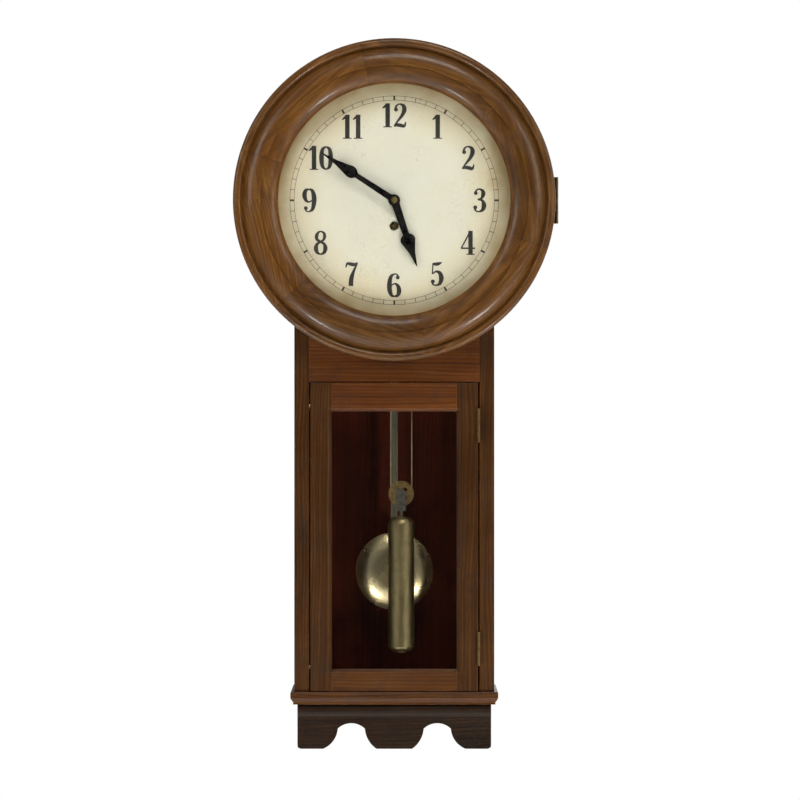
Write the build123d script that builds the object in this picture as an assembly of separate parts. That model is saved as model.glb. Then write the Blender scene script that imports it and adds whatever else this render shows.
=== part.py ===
from build123d import *
import math
import os

# A weight-driven wall clock (a shop or school regulator): a turned round head door over a painted dial,
# a straight trunk with a glazed door, a moulded and scalloped base, a brass weight on a pulley, a
# pendulum, and an eight-day movement between two brass plates.
# Frame, in millimetres: the origin is the centre of the hanger hole, on the back plane that lies on the
# wall. +X is to the right seen from the front, -Y points into the room and +Z is up. A "forward" value
# is a distance in front of the back plane, which is -y.

# Driving dimensions: heights, measured from the dial centre
DIAL_Z = -150.0
HEAD_R = 207.0
DOOR_TOP, DOOR_BOTTOM = -235.0, -632.5
GLASS_TOP, GLASS_BOTTOM = -272.0, -604.5
MOULDING_BOTTOM, APRON_BOTTOM = -650.0, -707.5
NOTCH_TOP = -674.5
PULLEY_Z, WEIGHT_TOP, WEIGHT_BOTTOM = -379.0, -408.0, -585.0
BOB_Z = -481.6
PIVOT_Z = 80.0

# Driving dimensions: the case
TRUNK_W = 258.0
SIDE_T = 19.0
INNER_W = TRUNK_W - 2 * SIDE_T
BACK_T = 12.0
SIDE_F = 124.0
SHELL_R, SHELL_T = 188.0, 12.0
BOARD_R, BOARD_HOLE_R, BOARD_T = 200.0, 125.0, 10.0
DIAL_R, DIAL_T = 155.0, 1.0
RING_HOLE_R, RABBET_R = 149.0, 156.0
SHELL_F = 118.0
RING_BACK_F, RING_FRONT_F = 129.5, 162.0
GLASS_F, GLASS_T = 146.0, 2.0
GAP = 0.3

# Driving dimensions: the trunk door
DOOR_W, DOOR_T, DOOR_F = 216.0, 18.0, 126.0
DOOR_GLASS_W, DOOR_GLASS_T = 161.0, 2.0
DOOR_RABBET = 7.0

# Driving dimensions: the movement, between the faces of its two plates
BACK_PLATE_F, FRONT_PLATE_F, PLATE_T = 72.0, 106.0, 2.0
PLATE_HALF_W, PLATE_LOW, PLATE_HIGH = 42.0, -72.0, 92.0
PILLARS = [(x, z) for x in (-36.0, 36.0) for z in (-66.0, 86.0)]
PIVOT_R, ARBOR_R, RUNNING = 1.0, 1.4, 0.05
SPINDLE_R, MOTION_STUD_R = 1.5, 1.5

# The train: places of the arbors from the dial centre, as (x, z)
CENTRE, DRUM, SECOND, THIRD = (0.0, 0.0), (0.0, -33.0), (-18.9, -5.2), (11.84, 27.48)
ESCAPE, VERGE, MOTION = (0.0, 48.9), (0.0, PIVOT_Z), (-16.97, 16.97)
TRAIN_M, UPPER_M, CANNON_M, HOUR_M = 0.7, 0.68, 0.6, 0.64
GREAT_T, SECOND_LEAVES, SECOND_T, CENTRE_LEAVES = 84, 12, 48, 8
CENTRE_T, THIRD_LEAVES, THIRD_T, ESCAPE_LEAVES = 80, 8, 64, 8
CANNON_T, MOTION_T, MOTION_LEAVES, HOUR_T = 20, 60, 15, 60
ESCAPE_T, ESCAPE_R, PALLET_R, NIB_T = 30, 22.0, 22.0, 1.1
RATCHET_T, RATCHET_R = 24, 20.0

# The driving cord: drum, pulley, weight and pendulum
CABLE_R, CABLE_F = 0.8, 89.0
DRUM_R = 21.8
CABLE_ON_DRUM_R = DRUM_R + CABLE_R
PULLEY_R, PULLEY_FLANGE_R, PULLEY_W = 12.8, 16.5, 7.0
CABLE_ON_PULLEY_R = PULLEY_R + CABLE_R
PULLEY_X = CABLE_ON_DRUM_R - CABLE_ON_PULLEY_R
STUD_X, STUD_Z, STUD_R = PULLEY_X - CABLE_ON_PULLEY_R, -67.5, 2.0
WEIGHT_R = 17.0
PENDULUM_F, BOB_R, BOB_HALF_T = 48.0, 50.8, 13.0

# Hands, as clockwise angles from twelve o'clock in degrees, and their lengths
MINUTE_ANGLE, HOUR_ANGLE = 303.0, 161.0
MINUTE_LENGTH, HOUR_LENGTH = 112.0, 90.0
HAND_T, HOUR_HAND_F, MINUTE_HAND_F = 1.2, 132.6, 137.0

# Hinges: axis places as (x, forward) and knuckle radii
HEAD_HINGE, HEAD_KNUCKLE_R = (209.4, 128.75), 2.0
TRUNK_HINGE, TRUNK_KNUCKLE_R = (109.0, 128.2), 2.1
TRUNK_HINGE_Z = (-290.0, -578.0)


def forward(face, start, end):
    """A face drawn in x and z, thickened from one forward distance to another."""
    return extrude(Plane.XZ.offset(start) * face, amount=end - start)


def at(place, face):
    """A face moved to an (x, z) place measured from the dial centre."""
    return Pos(place[0], DIAL_Z + place[1]) * face


def disc(place, radius, start, end):
    """A round piece on an axis that runs front to back."""
    return forward(at(place, Circle(radius)), start, end)


def box(x0, x1, start, end, z0, z1):
    """A board between x values, forward distances and heights from the dial centre."""
    size = (x1 - x0, end - start, z1 - z0)
    return Pos((x0 + x1) / 2, -(start + end) / 2, DIAL_Z + (z0 + z1) / 2) * Box(*size)


def post(x, start, radius, z0, z1):
    """An upright cylinder."""
    return Pos(x, -start, DIAL_Z + (z0 + z1) / 2) * Cylinder(radius, z1 - z0)


def turned(edges):
    """A piece turned about the dial's axis from the closed outline that the edges make."""
    plane = Plane(origin=(0, 0, DIAL_Z), x_dir=(1, 0, 0), z_dir=(0, 0, -1))
    return revolve(plane * make_face(edges), Axis((0, 0, DIAL_Z), (0, 1, 0)))


def turned_upright(x, forward_of_back, edges):
    """A piece turned about an upright axis from a closed outline in radius and height."""
    plane = Plane(origin=(x, -forward_of_back, DIAL_Z), x_dir=(1, 0, 0), z_dir=(0, -1, 0))
    axis = Axis((x, -forward_of_back, 0), (0, 0, 1))
    return revolve(plane * make_face(edges), axis)


# ---------------------------------------------------------------- the case


APRON_W, APRON_T, APRON_F = 250.0, 14.0, 121.0
BACKBOARD_BOTTOM = MOULDING_BOTTOM - 20


def case_outline():
    """The head's circle, the trunk below it and the narrower foot behind the apron, from the front."""
    trunk = at((0, MOULDING_BOTTOM / 2), Rectangle(TRUNK_W, -MOULDING_BOTTOM))
    foot = at((0, BACKBOARD_BOTTOM / 2), Rectangle(APRON_W, -BACKBOARD_BOTTOM))
    return at((0, 0), Circle(SHELL_R)) + trunk + foot


WALL_SCREW_R, WALL_SCREW_X, WALL_SCREW_Z = 2.5, 60.0, -618.0
HANGER_W, HANGER_H, HANGER_T, HANGER_R = 44.0, 26.0, 2.5, 4.5
HANGER_POCKET_R, HANGER_POCKET_DEPTH = 10.0, 9.5
HANGER_SCREW_X, HANGER_SCREW_R = 15.0, 2.0


def backboard():
    board = forward(case_outline(), 0, BACK_T)
    plate_seat = forward(Rectangle(HANGER_W + 2 * GAP, HANGER_H + 2 * GAP), 0, HANGER_T)
    board -= plate_seat + forward(Circle(HANGER_POCKET_R), 0, HANGER_POCKET_DEPTH)
    for x in (-WALL_SCREW_X, WALL_SCREW_X):
        board -= disc((x, WALL_SCREW_Z), WALL_SCREW_R, 0, BACK_T)
    for x in (-HANGER_SCREW_X, HANGER_SCREW_X):
        board -= forward(Pos(x, 0) * Circle(HANGER_SCREW_R), 0, HANGER_POCKET_DEPTH)
    return board


def hanger_plate():
    plate = forward(RectangleRounded(HANGER_W, HANGER_H, 4), 0, HANGER_T)
    plate -= forward(Circle(HANGER_R), 0, HANGER_T)
    for x in (-HANGER_SCREW_X, HANGER_SCREW_X):
        plate -= forward(Pos(x, 0) * Circle(HANGER_SCREW_R), 0, HANGER_T)
    return plate


def hanger_screws():
    head_r, head_t = 1.95, 0.4
    screws = []
    for x in (-HANGER_SCREW_X, HANGER_SCREW_X):
        screw = forward(Pos(x, 0) * Circle(head_r), head_t, HANGER_POCKET_DEPTH - 0.5)
        screws.append(screw)
    return Compound(screws)


def trunk_side(side):
    """One side board, coped at its top to the head's shell and to the dial board."""
    inner, outer = INNER_W / 2, TRUNK_W / 2
    low, high = sorted((side * inner, side * outer))
    board = box(low, high, BACK_T, SIDE_F, MOULDING_BOTTOM, -120)
    board -= disc((0, 0), SHELL_R, BACK_T, SIDE_F)
    return board - disc((0, 0), BOARD_R + GAP, SHELL_F - GAP, SIDE_F)


def bottom_board():
    return box(-INNER_W / 2, INNER_W / 2, BACK_T, SIDE_F - 2, MOULDING_BOTTOM, MOULDING_BOTTOM + 12)


NECK_F, NECK_T = SIDE_F, 18.0


def neck_rail():
    """The rail between the head and the trunk door, hollowed on top to the dial board's edge."""
    rail = box(-INNER_W / 2, INNER_W / 2, NECK_F - NECK_T, NECK_F, DOOR_TOP + 1.0, -130)
    return rail - disc((0, 0), BOARD_R + GAP, NECK_F - NECK_T, NECK_F)


def head_shell():
    """The bent drum behind the dial, open below where the trunk runs up into it."""
    shell = disc((0, 0), SHELL_R, BACK_T, SHELL_F) - disc((0, 0), SHELL_R - SHELL_T, BACK_T, SHELL_F)
    return shell - box(-INNER_W / 2, INNER_W / 2, BACK_T, SHELL_F, -SHELL_R - 5, 0)


def dial_board():
    start = SHELL_F
    return disc((0, 0), BOARD_R, start, start + BOARD_T) - disc((0, 0), BOARD_HOLE_R, start, start + BOARD_T)


DIAL_F = SHELL_F + BOARD_T
CENTRE_HOLE_R, WINDING_HOLE_R = 7.5, 6.0


def dial():
    plate = disc((0, 0), DIAL_R, DIAL_F, DIAL_F + DIAL_T)
    plate -= disc((0, 0), CENTRE_HOLE_R, DIAL_F, DIAL_F + DIAL_T)
    return plate - disc(DRUM, WINDING_HOLE_R, DIAL_F, DIAL_F + DIAL_T)


MOULDING_TOP = DOOR_BOTTOM - 1.0
MOULDING_OUT = 5.0


def moulding_profile():
    """The base moulding's section, as outward distance and height: a fillet, an ovolo and a bead."""
    top, low, out = MOULDING_TOP, MOULDING_BOTTOM, MOULDING_OUT
    return [
        Line((-6, top), (out - 2.5, top)),
        ThreePointArc((out - 2.5, top), (out - 0.4, top - 0.9), (out, top - 3)),
        Line((out, top - 3), (out, top - 8)),
        ThreePointArc((out, top - 8), (out - 1.6, top - 11.0), (out - 3.5, low + 3)),
        Line((out - 3.5, low + 3), (out - 3.5, low)),
        Line((out - 3.5, low), (-6, low)),
        Line((-6, low), (-6, top)),
    ]


def wedge(side):
    """All that lies to one side of the base's mitre lines: "front", or the side -1 or 1."""
    far, corner_f = 400.0, SIDE_F - TRUNK_W / 2
    tip = (0, -corner_f)
    right, left = (far, -(corner_f + far)), (-far, -(corner_f + far))
    if side == "front":
        points = [tip, right, left]
    else:
        points = [tip, (side * far, -(corner_f + far)), (side * far, far), (0, far)]
    face = make_face(Polyline(*points, close=True))
    return extrude(Plane.XY.offset(DIAL_Z - 800) * face, amount=400)


def base_moulding(side):
    """One length of the moulding round the base, mitred at the corners."""
    profile = make_face(moulding_profile())
    if side == "front":
        plane = Plane(origin=(-200, -SIDE_F, DIAL_Z), x_dir=(0, -1, 0), z_dir=(-1, 0, 0))
        length = extrude(plane * profile, amount=-400)
    else:
        plane = Plane(origin=(side * TRUNK_W / 2, 0, DIAL_Z), x_dir=(side, 0, 0), z_dir=(0, -side, 0))
        length = extrude(plane * profile, amount=side * 200)
    length = length & wedge(side)
    keep = Pos(0, -100, DIAL_Z - 640) * Box(600, 200, 100)
    core = box(-TRUNK_W / 2, TRUNK_W / 2, 0, SIDE_F, MOULDING_BOTTOM - 1, MOULDING_TOP + 1)
    return (length & keep) - core


BAND_H = 16.0


def apron_outline():
    """The front apron below the moulding: two feet and a centre lobe, with a notch between each pair."""
    half = APRON_W / 2
    top, low, notch = MOULDING_BOTTOM, APRON_BOTTOM, NOTCH_TOP
    right = [
        Line((0, top), (half, top)),
        Line((half, top), (half, low + 5)),
        ThreePointArc((half, low + 5), (half - 1.5, low + 1.5), (half - 5, low)),
        Line((half - 5, low), (92, low)),
        ThreePointArc((92, low), (78.5, low + 10.5), (73, notch - 7)),
        ThreePointArc((73, notch - 7), (55.5, notch), (38, notch - 7)),
        ThreePointArc((38, notch - 7), (33, low + 10.5), (23, low)),
        Line((23, low), (0, low)),
        Line((0, low), (0, top)),
    ]
    face = make_face(right)
    return face + mirror(face, about=Plane.YZ)


def apron_front():
    """The scalloped apron, with the half-round band that runs along its top."""
    apron = forward(at((0, 0), apron_outline()), APRON_F - APRON_T, APRON_F)
    band = Plane(origin=(-APRON_W / 2, -APRON_F, DIAL_Z), x_dir=(0, -1, 0), z_dir=(-1, 0, 0))
    return apron + extrude(band * make_face(band_profile()), amount=-APRON_W)


def band_profile():
    """The band's convex section, as outward distance and height."""
    top, low, out = MOULDING_BOTTOM - 0.5, MOULDING_BOTTOM - BAND_H, 2.6
    return [
        Line((-1, top), (0, top)),
        ThreePointArc((0, top), (out, (top + low) / 2), (0, low)),
        Line((0, low), (-1, low)),
        Line((-1, low), (-1, top)),
    ]


def apron_side(side):
    """One apron return, from the front apron to the wall, on two feet with a notch between them."""
    back, front = BACK_T, APRON_F - APRON_T
    middle = (back + front) / 2
    top, low, notch = MOULDING_BOTTOM, APRON_BOTTOM, NOTCH_TOP
    outline = [
        Line((back, top), (front, top)),
        Line((front, top), (front, low)),
        Line((front, low), (middle + 26, low)),
        ThreePointArc((middle + 26, low), (middle, notch), (middle - 26, low)),
        Line((middle - 26, low), (back, low)),
        Line((back, low), (back, top)),
    ]
    plane = Plane(origin=(side * APRON_W / 2, 0, DIAL_Z), x_dir=(0, -1, 0), z_dir=(-1, 0, 0))
    return extrude(plane * make_face(outline), amount=side * APRON_T)


def ball_catches():
    """Two brass ball catches let into the left side board, which hold the trunk door shut."""
    catches = []
    inner = -INNER_W / 2
    for z in (DOOR_TOP - 30, DOOR_BOTTOM + 30):
        barrel = Cylinder(2.6, 1.4) + Pos(0, 0, 0.2) * Sphere(0.9)
        catches.append(Pos(inner + 0.7, -(DOOR_F - 10), DIAL_Z + z) * Rot(0, 90, 0) * barrel)
    return Compound(catches)


# ---------------------------------------------------------------- the head door


def head_ring_outline():
    """The turned ring's section as radius and forward distance, from its back edge round to its rabbet."""
    back, front = RING_BACK_F, RING_FRONT_F
    rabbet_f = GLASS_F + GLASS_T + 0.1
    return [
        Line((RABBET_R, back), (HEAD_R - 0.8, back)),
        Line((HEAD_R - 0.8, back), (HEAD_R, back + 0.8)),
        Line((HEAD_R, back + 0.8), (HEAD_R, front - 11.5)),
        ThreePointArc((HEAD_R, front - 11.5), (201.5, front - 6.0), (196, front - 11.5)),
        Line((196, front - 11.5), (194.5, front - 11.5)),
        ThreePointArc((194.5, front - 11.5), (185.5, front - 2.6), (172.5, front)),
        Line((172.5, front), (171.5, front - 2.5)),
        Line((171.5, front - 2.5), (169.5, front - 2.5)),
        ThreePointArc((169.5, front - 2.5), (159, front - 4.6), (152, front - 9.5)),
        Line((152, front - 9.5), (RING_HOLE_R, front - 10)),
        Line((RING_HOLE_R, front - 10), (RING_HOLE_R, rabbet_f)),
        Line((RING_HOLE_R, rabbet_f), (RABBET_R, rabbet_f)),
        Line((RABBET_R, rabbet_f), (RABBET_R, back)),
    ]


HINGE_LEAF_T, HINGE_LEAF_W = 0.65, 17.0


def head_ring():
    ring = turned(head_ring_outline())
    knuckle_seat = post(*HEAD_HINGE, HEAD_KNUCKLE_R + 0.35, -38, 38)
    return ring - knuckle_seat


def head_glass():
    return disc((0, 0), RABBET_R - GAP, GLASS_F, GLASS_F + GLASS_T)


def glass_retainer():
    """The wooden hoop that holds the dial's glass in the ring."""
    hoop_t = 5.0
    outer = disc((0, 0), RABBET_R - 0.1, GLASS_F - hoop_t, GLASS_F - 0.05)
    return outer - disc((0, 0), RING_HOLE_R + 0.5, GLASS_F - hoop_t, GLASS_F - 0.05)


def hinge(place, radius, centre_z, length, spans, leaf, pin_r):
    """One half of a butt hinge: a leaf, and the knuckles on the spans (shares of the length) it owns."""
    x, f = place
    low = centre_z - length / 2
    half = leaf
    for start, end in spans:
        z0, z1 = low + start * length + 0.15, low + end * length - 0.15
        half = half + post(x, f, radius, z0, z1)
    bore = post(x, f, pin_r, low - 5, low + length + 5)
    return half - bore


HINGE_PIN_R = 1.0
OUTER_SPANS, INNER_SPANS = ((0.0, 0.3), (0.7, 1.0)), ((0.3, 0.7),)
HEAD_HINGE_LENGTH, TRUNK_HINGE_LENGTH = 60.0, 44.0


def hinge_gap_cut(place, radius, centre_z, length, spans):
    """The room that one half's leaf leaves for the other half's knuckles."""
    x, f = place
    low = centre_z - length / 2
    cut = None
    for start, end in spans:
        piece = post(x, f, radius + 0.3, low + start * length - 0.1, low + end * length + 0.1)
        cut = piece if cut is None else cut + piece
    return cut


def head_hinge_case():
    """The dial board's half of the head hinge, with its pin."""
    length, x, f = HEAD_HINGE_LENGTH, *HEAD_HINGE
    leaf = box(x - HINGE_LEAF_W, x, DIAL_F, DIAL_F + HINGE_LEAF_T, -length / 2, length / 2)
    leaf -= disc((0, 0), DIAL_R + 1, 0, 1)
    leaf -= hinge_gap_cut(HEAD_HINGE, HEAD_KNUCKLE_R, 0, length, INNER_SPANS)
    half = hinge(HEAD_HINGE, HEAD_KNUCKLE_R, 0, length, OUTER_SPANS, leaf, 0.5)
    return half + post(x, f, HINGE_PIN_R, -length / 2, length / 2)


def head_hinge_door():
    """The ring's half of the head hinge."""
    length, x = HEAD_HINGE_LENGTH, HEAD_HINGE[0]
    front = RING_BACK_F
    leaf = box(x - HINGE_LEAF_W, x, front - HINGE_LEAF_T, front, -length / 2, length / 2)
    leaf -= hinge_gap_cut(HEAD_HINGE, HEAD_KNUCKLE_R, 0, length, OUTER_SPANS)
    return hinge(HEAD_HINGE, HEAD_KNUCKLE_R, 0, length, INNER_SPANS, leaf, HINGE_PIN_R + RUNNING)


def trunk_hinge_case(z):
    """The side board's half of one trunk hinge, with its pin."""
    length, x, f = TRUNK_HINGE_LENGTH, *TRUNK_HINGE
    wall = INNER_W / 2
    leaf = box(wall - 0.7, wall, f - 18, f, z - length / 2, z + length / 2)
    leaf -= hinge_gap_cut(TRUNK_HINGE, TRUNK_KNUCKLE_R, z, length, INNER_SPANS)
    half = hinge(TRUNK_HINGE, TRUNK_KNUCKLE_R, z, length, OUTER_SPANS, leaf, 0.5)
    return half + post(x, f, HINGE_PIN_R, z - length / 2, z + length / 2)


def trunk_hinge_door(z):
    """The door's half of one trunk hinge."""
    length, f = TRUNK_HINGE_LENGTH, TRUNK_HINGE[1]
    edge = DOOR_W / 2
    leaf = box(edge, edge + 0.7, f - 18, f, z - length / 2, z + length / 2)
    leaf -= hinge_gap_cut(TRUNK_HINGE, TRUNK_KNUCKLE_R, z, length, OUTER_SPANS)
    return hinge(TRUNK_HINGE, TRUNK_KNUCKLE_R, z, length, INNER_SPANS, leaf, HINGE_PIN_R + RUNNING)


def hinge_leaves_case():
    return Compound([head_hinge_case(), *(trunk_hinge_case(z) for z in TRUNK_HINGE_Z)])


def trunk_hinge_leaves():
    return Compound([trunk_hinge_door(z) for z in TRUNK_HINGE_Z])


# ---------------------------------------------------------------- the trunk door


def door_bar(x0, x1, z0, z1):
    """One bar of the door's frame, rebated behind the glass opening and bevelled in front of it."""
    bar = box(x0, x1, DOOR_F - DOOR_T, DOOR_F, z0, z1)
    half_w = DOOR_GLASS_W / 2
    rebate = box(
        -half_w - DOOR_RABBET,
        half_w + DOOR_RABBET,
        DOOR_F - DOOR_T,
        DOOR_F - 8,
        GLASS_BOTTOM - DOOR_RABBET,
        GLASS_TOP + DOOR_RABBET,
    )
    bevel = loft([
        Plane.XZ.offset(DOOR_F - 5) * at(
            (0, (GLASS_TOP + GLASS_BOTTOM) / 2), Rectangle(DOOR_GLASS_W, GLASS_TOP - GLASS_BOTTOM)
        ),
        Plane.XZ.offset(DOOR_F + 0.01) * at(
            (0, (GLASS_TOP + GLASS_BOTTOM) / 2), Rectangle(DOOR_GLASS_W + 8, GLASS_TOP - GLASS_BOTTOM + 8)
        ),
    ])
    return bar - rebate - bevel


def door_stile(side):
    inner, outer = DOOR_GLASS_W / 2, DOOR_W / 2
    low, high = sorted((side * inner, side * outer))
    return door_bar(low, high, DOOR_BOTTOM, DOOR_TOP)


def door_rail(z0, z1):
    inner = DOOR_GLASS_W / 2
    return door_bar(-inner, inner, z0, z1)


def door_glass():
    half, front = DOOR_GLASS_W / 2 + DOOR_RABBET - 0.5, DOOR_F - 8.05
    reach = DOOR_RABBET - 0.5
    return box(-half, half, front - DOOR_GLASS_T, front, GLASS_BOTTOM - reach, GLASS_TOP + reach)


def door_bead():
    """The slim bead behind the glass that holds it in the door."""
    front = DOOR_F - 8.1 - DOOR_GLASS_T
    half, reach, width, depth = DOOR_GLASS_W / 2, DOOR_RABBET - 0.3, 6.0, 5.0
    outer = box(-half - reach, half + reach, front - depth, front, GLASS_BOTTOM - reach, GLASS_TOP + reach)
    inner = reach - width
    hole = box(-half - inner, half + inner, front - depth, front, GLASS_BOTTOM - inner, GLASS_TOP + inner)
    return outer - hole


# ---------------------------------------------------------------- wheels and arbors


WHEEL_TOOTH = dict(tip=0.95, root=1.3, root_share=0.50, pitch_share=0.40, high_share=0.29, tip_share=0.10)
PINION_TOOTH = dict(tip=0.55, root=1.3, root_share=0.22, pitch_share=0.34, high_share=0.28, tip_share=0.18)


def toothed(teeth, module, tooth, turn):
    """A toothed wheel's outline. turn is the angle of one tooth's middle from +X, anticlockwise."""
    pitch_r = teeth * module / 2
    flank = [
        (pitch_r - tooth["root"] * module, tooth["root_share"]),
        (pitch_r, tooth["pitch_share"]),
        (pitch_r + 0.6 * tooth["tip"] * module, tooth["high_share"]),
        (pitch_r + tooth["tip"] * module, tooth["tip_share"]),
    ]
    step = 360 / teeth
    points = []
    for number in range(teeth):
        middle = turn + number * step
        rising = [(r, middle - share * step / 2) for r, share in flank]
        falling = [(r, middle + share * step / 2) for r, share in reversed(flank)]
        points += [polar(r, angle) for r, angle in rising + falling]
    return make_face(Polyline(*points, close=True))


def polar(radius, angle):
    """A point at a radius and at an angle in degrees, anticlockwise from +X."""
    return radius * math.cos(math.radians(angle)), radius * math.sin(math.radians(angle))


def toward(place, other):
    """The angle at which one arbor sees another."""
    return math.degrees(math.atan2(other[1] - place[1], other[0] - place[0]))


def wheel(teeth, module, place, mate):
    """A wheel's outline with a tooth pointing at the pinion it drives."""
    return at(place, toothed(teeth, module, WHEEL_TOOTH, toward(place, mate)))


def pinion(leaves, module, place, mate):
    """A pinion's outline with a space facing the wheel that it meets."""
    return at(place, toothed(leaves, module, PINION_TOOTH, toward(place, mate) + 180 / leaves))


def crossings(place, rim_r, hub_r, count, arm_w, turn=90.0):
    """The windows between a crossed-out wheel's arms."""
    ring = Circle(rim_r) - Circle(hub_r)
    for number in range(count):
        arm = Pos(rim_r / 2, 0) * Rectangle(rim_r * 1.1, arm_w)
        ring -= Rot(0, 0, turn + number * 360 / count) * arm
    return at(place, ring)


def arbor(place, radius=ARBOR_R, front=FRONT_PLATE_F, front_t=PLATE_T):
    """An arbor from the back plate to the plate or cock at front, with a pivot that runs in each."""
    body = disc(place, radius, BACK_PLATE_F + 0.4, front - 0.4)
    return body + disc(place, PIVOT_R, BACK_PLATE_F - PLATE_T - 0.2, front + front_t + 0.2)


def between(start, end):
    """Two distances in front of the back plate's face, as forward distances."""
    return BACK_PLATE_F + start, BACK_PLATE_F + end


def centre_wheel():
    body = forward(wheel(CENTRE_T, UPPER_M, CENTRE, THIRD), *between(31, 32.5))
    body -= forward(crossings(CENTRE, 22.5, 7.0, 4, 3.4), *between(31, 32.5))
    body += forward(pinion(CENTRE_LEAVES, TRAIN_M, CENTRE, SECOND), *between(3, 6))
    back_pivot = disc(CENTRE, PIVOT_R, BACK_PLATE_F - PLATE_T - 0.2, BACK_PLATE_F + 1)
    spindle = disc(CENTRE, SPINDLE_R, BACK_PLATE_F + 0.4, MINUTE_HAND_F + HAND_T + 2.0)
    return body + spindle + back_pivot


# The cock that carries the second wheel's front pivot, which keeps its arbor clear of the centre wheel
COCK_F, COCK_T, COCK_FOOT = BACK_PLATE_F + 11.0, 1.6, (-30.7, 12.2)


def second_cock():
    """A foot on the back plate and an arm that reaches over the second wheel to its front pivot."""
    reach_x, reach_z = COCK_FOOT[0] - SECOND[0], COCK_FOOT[1] - SECOND[1]
    arm = Rot(0, 0, toward(SECOND, COCK_FOOT)) * SlotCenterToCenter(math.hypot(reach_x, reach_z), 6.4)
    middle = (SECOND[0] + reach_x / 2, SECOND[1] + reach_z / 2)
    cock = forward(at(middle, arm), COCK_F, COCK_F + COCK_T)
    cock += disc(COCK_FOOT, 2.6, BACK_PLATE_F, COCK_F)
    return cock - disc(SECOND, PIVOT_R + RUNNING, COCK_F, COCK_F + COCK_T)


def second_wheel():
    body = forward(wheel(SECOND_T, TRAIN_M, SECOND, CENTRE), *between(3.6, 5.1))
    body -= forward(crossings(SECOND, 13.2, 4.6, 4, 2.8), *between(3.6, 5.1))
    body += forward(pinion(SECOND_LEAVES, TRAIN_M, SECOND, DRUM), *between(6.8, 9.6))
    return body + arbor(SECOND, front=COCK_F, front_t=COCK_T)


def third_wheel():
    body = forward(wheel(THIRD_T, UPPER_M, THIRD, ESCAPE), *between(20, 21.4))
    body -= forward(crossings(THIRD, 17.8, 5.0, 4, 3.0), *between(20, 21.4))
    body += forward(pinion(THIRD_LEAVES, UPPER_M, THIRD, CENTRE), *between(30, 33))
    return body + arbor(THIRD)


def escape_outline():
    """Thirty slim pointed teeth, one of them straight up."""
    step, root_r = 360 / ESCAPE_T, ESCAPE_R - 3.4
    points = []
    for number in range(ESCAPE_T):
        middle = 90 + number * step
        points += [polar(root_r, middle - 0.18 * step), polar(ESCAPE_R, middle - 0.03 * step)]
        points += [polar(ESCAPE_R, middle + 0.03 * step), polar(root_r, middle + 0.18 * step)]
    return make_face(Polyline(*points, close=True))


def escape_wheel():
    body = forward(at(ESCAPE, escape_outline()), *between(6.4, 7.6))
    body -= forward(crossings(ESCAPE, 16.0, 4.6, 4, 2.6), *between(6.4, 7.6))
    body += forward(pinion(ESCAPE_LEAVES, UPPER_M, ESCAPE, THIRD), *between(19, 22.4))
    return body + arbor(ESCAPE, radius=1.2)


GREAT_HUB_R = 6.0


def great_wheel():
    """The great wheel, which turns on the drum's arbor and carries the click."""
    body = forward(wheel(GREAT_T, TRAIN_M, DRUM, SECOND), *between(7.2, 9.2))
    body -= forward(crossings(DRUM, 24.8, 11.0, 5, 5.0, turn=54.0), *between(7.2, 9.2))
    body += disc(DRUM, GREAT_HUB_R, *between(3.0, 9.2))
    return body - disc(DRUM, DRUM_ARBOR_R + RUNNING, *between(2.5, 9.5))


DRUM_ARBOR_R, DRUM_PIVOT_R, WINDING_SQUARE = 3.0, 2.0, 4.6


def ratchet_outline():
    """The ratchet's teeth: straight faces that the click holds, with sloped backs."""
    step, root_r = 360 / RATCHET_T, RATCHET_R - 2.2
    points = []
    for number in range(RATCHET_T):
        start = 90 + number * step
        points += [polar(RATCHET_R, start), polar(root_r, start + 0.06 * step)]
    return make_face(Polyline(*points, close=True))


def drum():
    """The winding drum: ratchet, barrel and cheek on an arbor with a square at its front end."""
    body = forward(at(DRUM, ratchet_outline()), *between(10.0, 11.8))
    body += disc(DRUM, DRUM_R, *between(11.8, 27.0))
    body += disc(DRUM, DRUM_R + 3.2, *between(11.8, 13.2)) + disc(DRUM, DRUM_R + 3.2, *between(25.6, 27.0))
    body += disc(DRUM, DRUM_ARBOR_R, BACK_PLATE_F + 0.4, FRONT_PLATE_F - 0.4)
    body += disc(DRUM, DRUM_PIVOT_R, BACK_PLATE_F - PLATE_T - 0.2, FRONT_PLATE_F + PLATE_T + 1.0)
    square = at(DRUM, Rot(0, 0, 45) * Rectangle(WINDING_SQUARE, WINDING_SQUARE))
    return body + forward(square & at(DRUM, Circle(3.0)), FRONT_PLATE_F + PLATE_T + 0.9, DIAL_F - 3.0)


CLICK_PIVOT_ANGLE, CLICK_R = 126.0, 24.6


def click():
    """The click on the great wheel, its beak just clear of the ratchet, with the screw it turns on."""
    pivot = polar(CLICK_R, CLICK_PIVOT_ANGLE)
    beak = polar(RATCHET_R + 0.5, CLICK_PIVOT_ANGLE - 38)
    back = polar(RATCHET_R + 2.2, CLICK_PIVOT_ANGLE - 36)
    heel = polar(CLICK_R + 1.6, CLICK_PIVOT_ANGLE + 4)
    inner = polar(CLICK_R - 1.9, CLICK_PIVOT_ANGLE + 2)
    belly = polar(RATCHET_R + 1.0, CLICK_PIVOT_ANGLE - 19)
    outline = make_face(Polyline(beak, back, heel, inner, belly, close=True))
    body = forward(at(DRUM, outline), *between(10.1, 11.6))
    return body + forward(at(DRUM, Pos(*pivot) * Circle(1.7)), *between(9.2, 11.6))


# ---------------------------------------------------------------- plates and what they carry


def pivot_holes(start, end):
    """The running holes that both plates have for the train's pivots."""
    radius = PIVOT_R + RUNNING
    holes = disc(THIRD, radius, start, end) + disc(ESCAPE, radius, start, end)
    holes += disc(VERGE, radius, start, end)
    return holes + disc(DRUM, DRUM_PIVOT_R + RUNNING, start, end)


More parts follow.
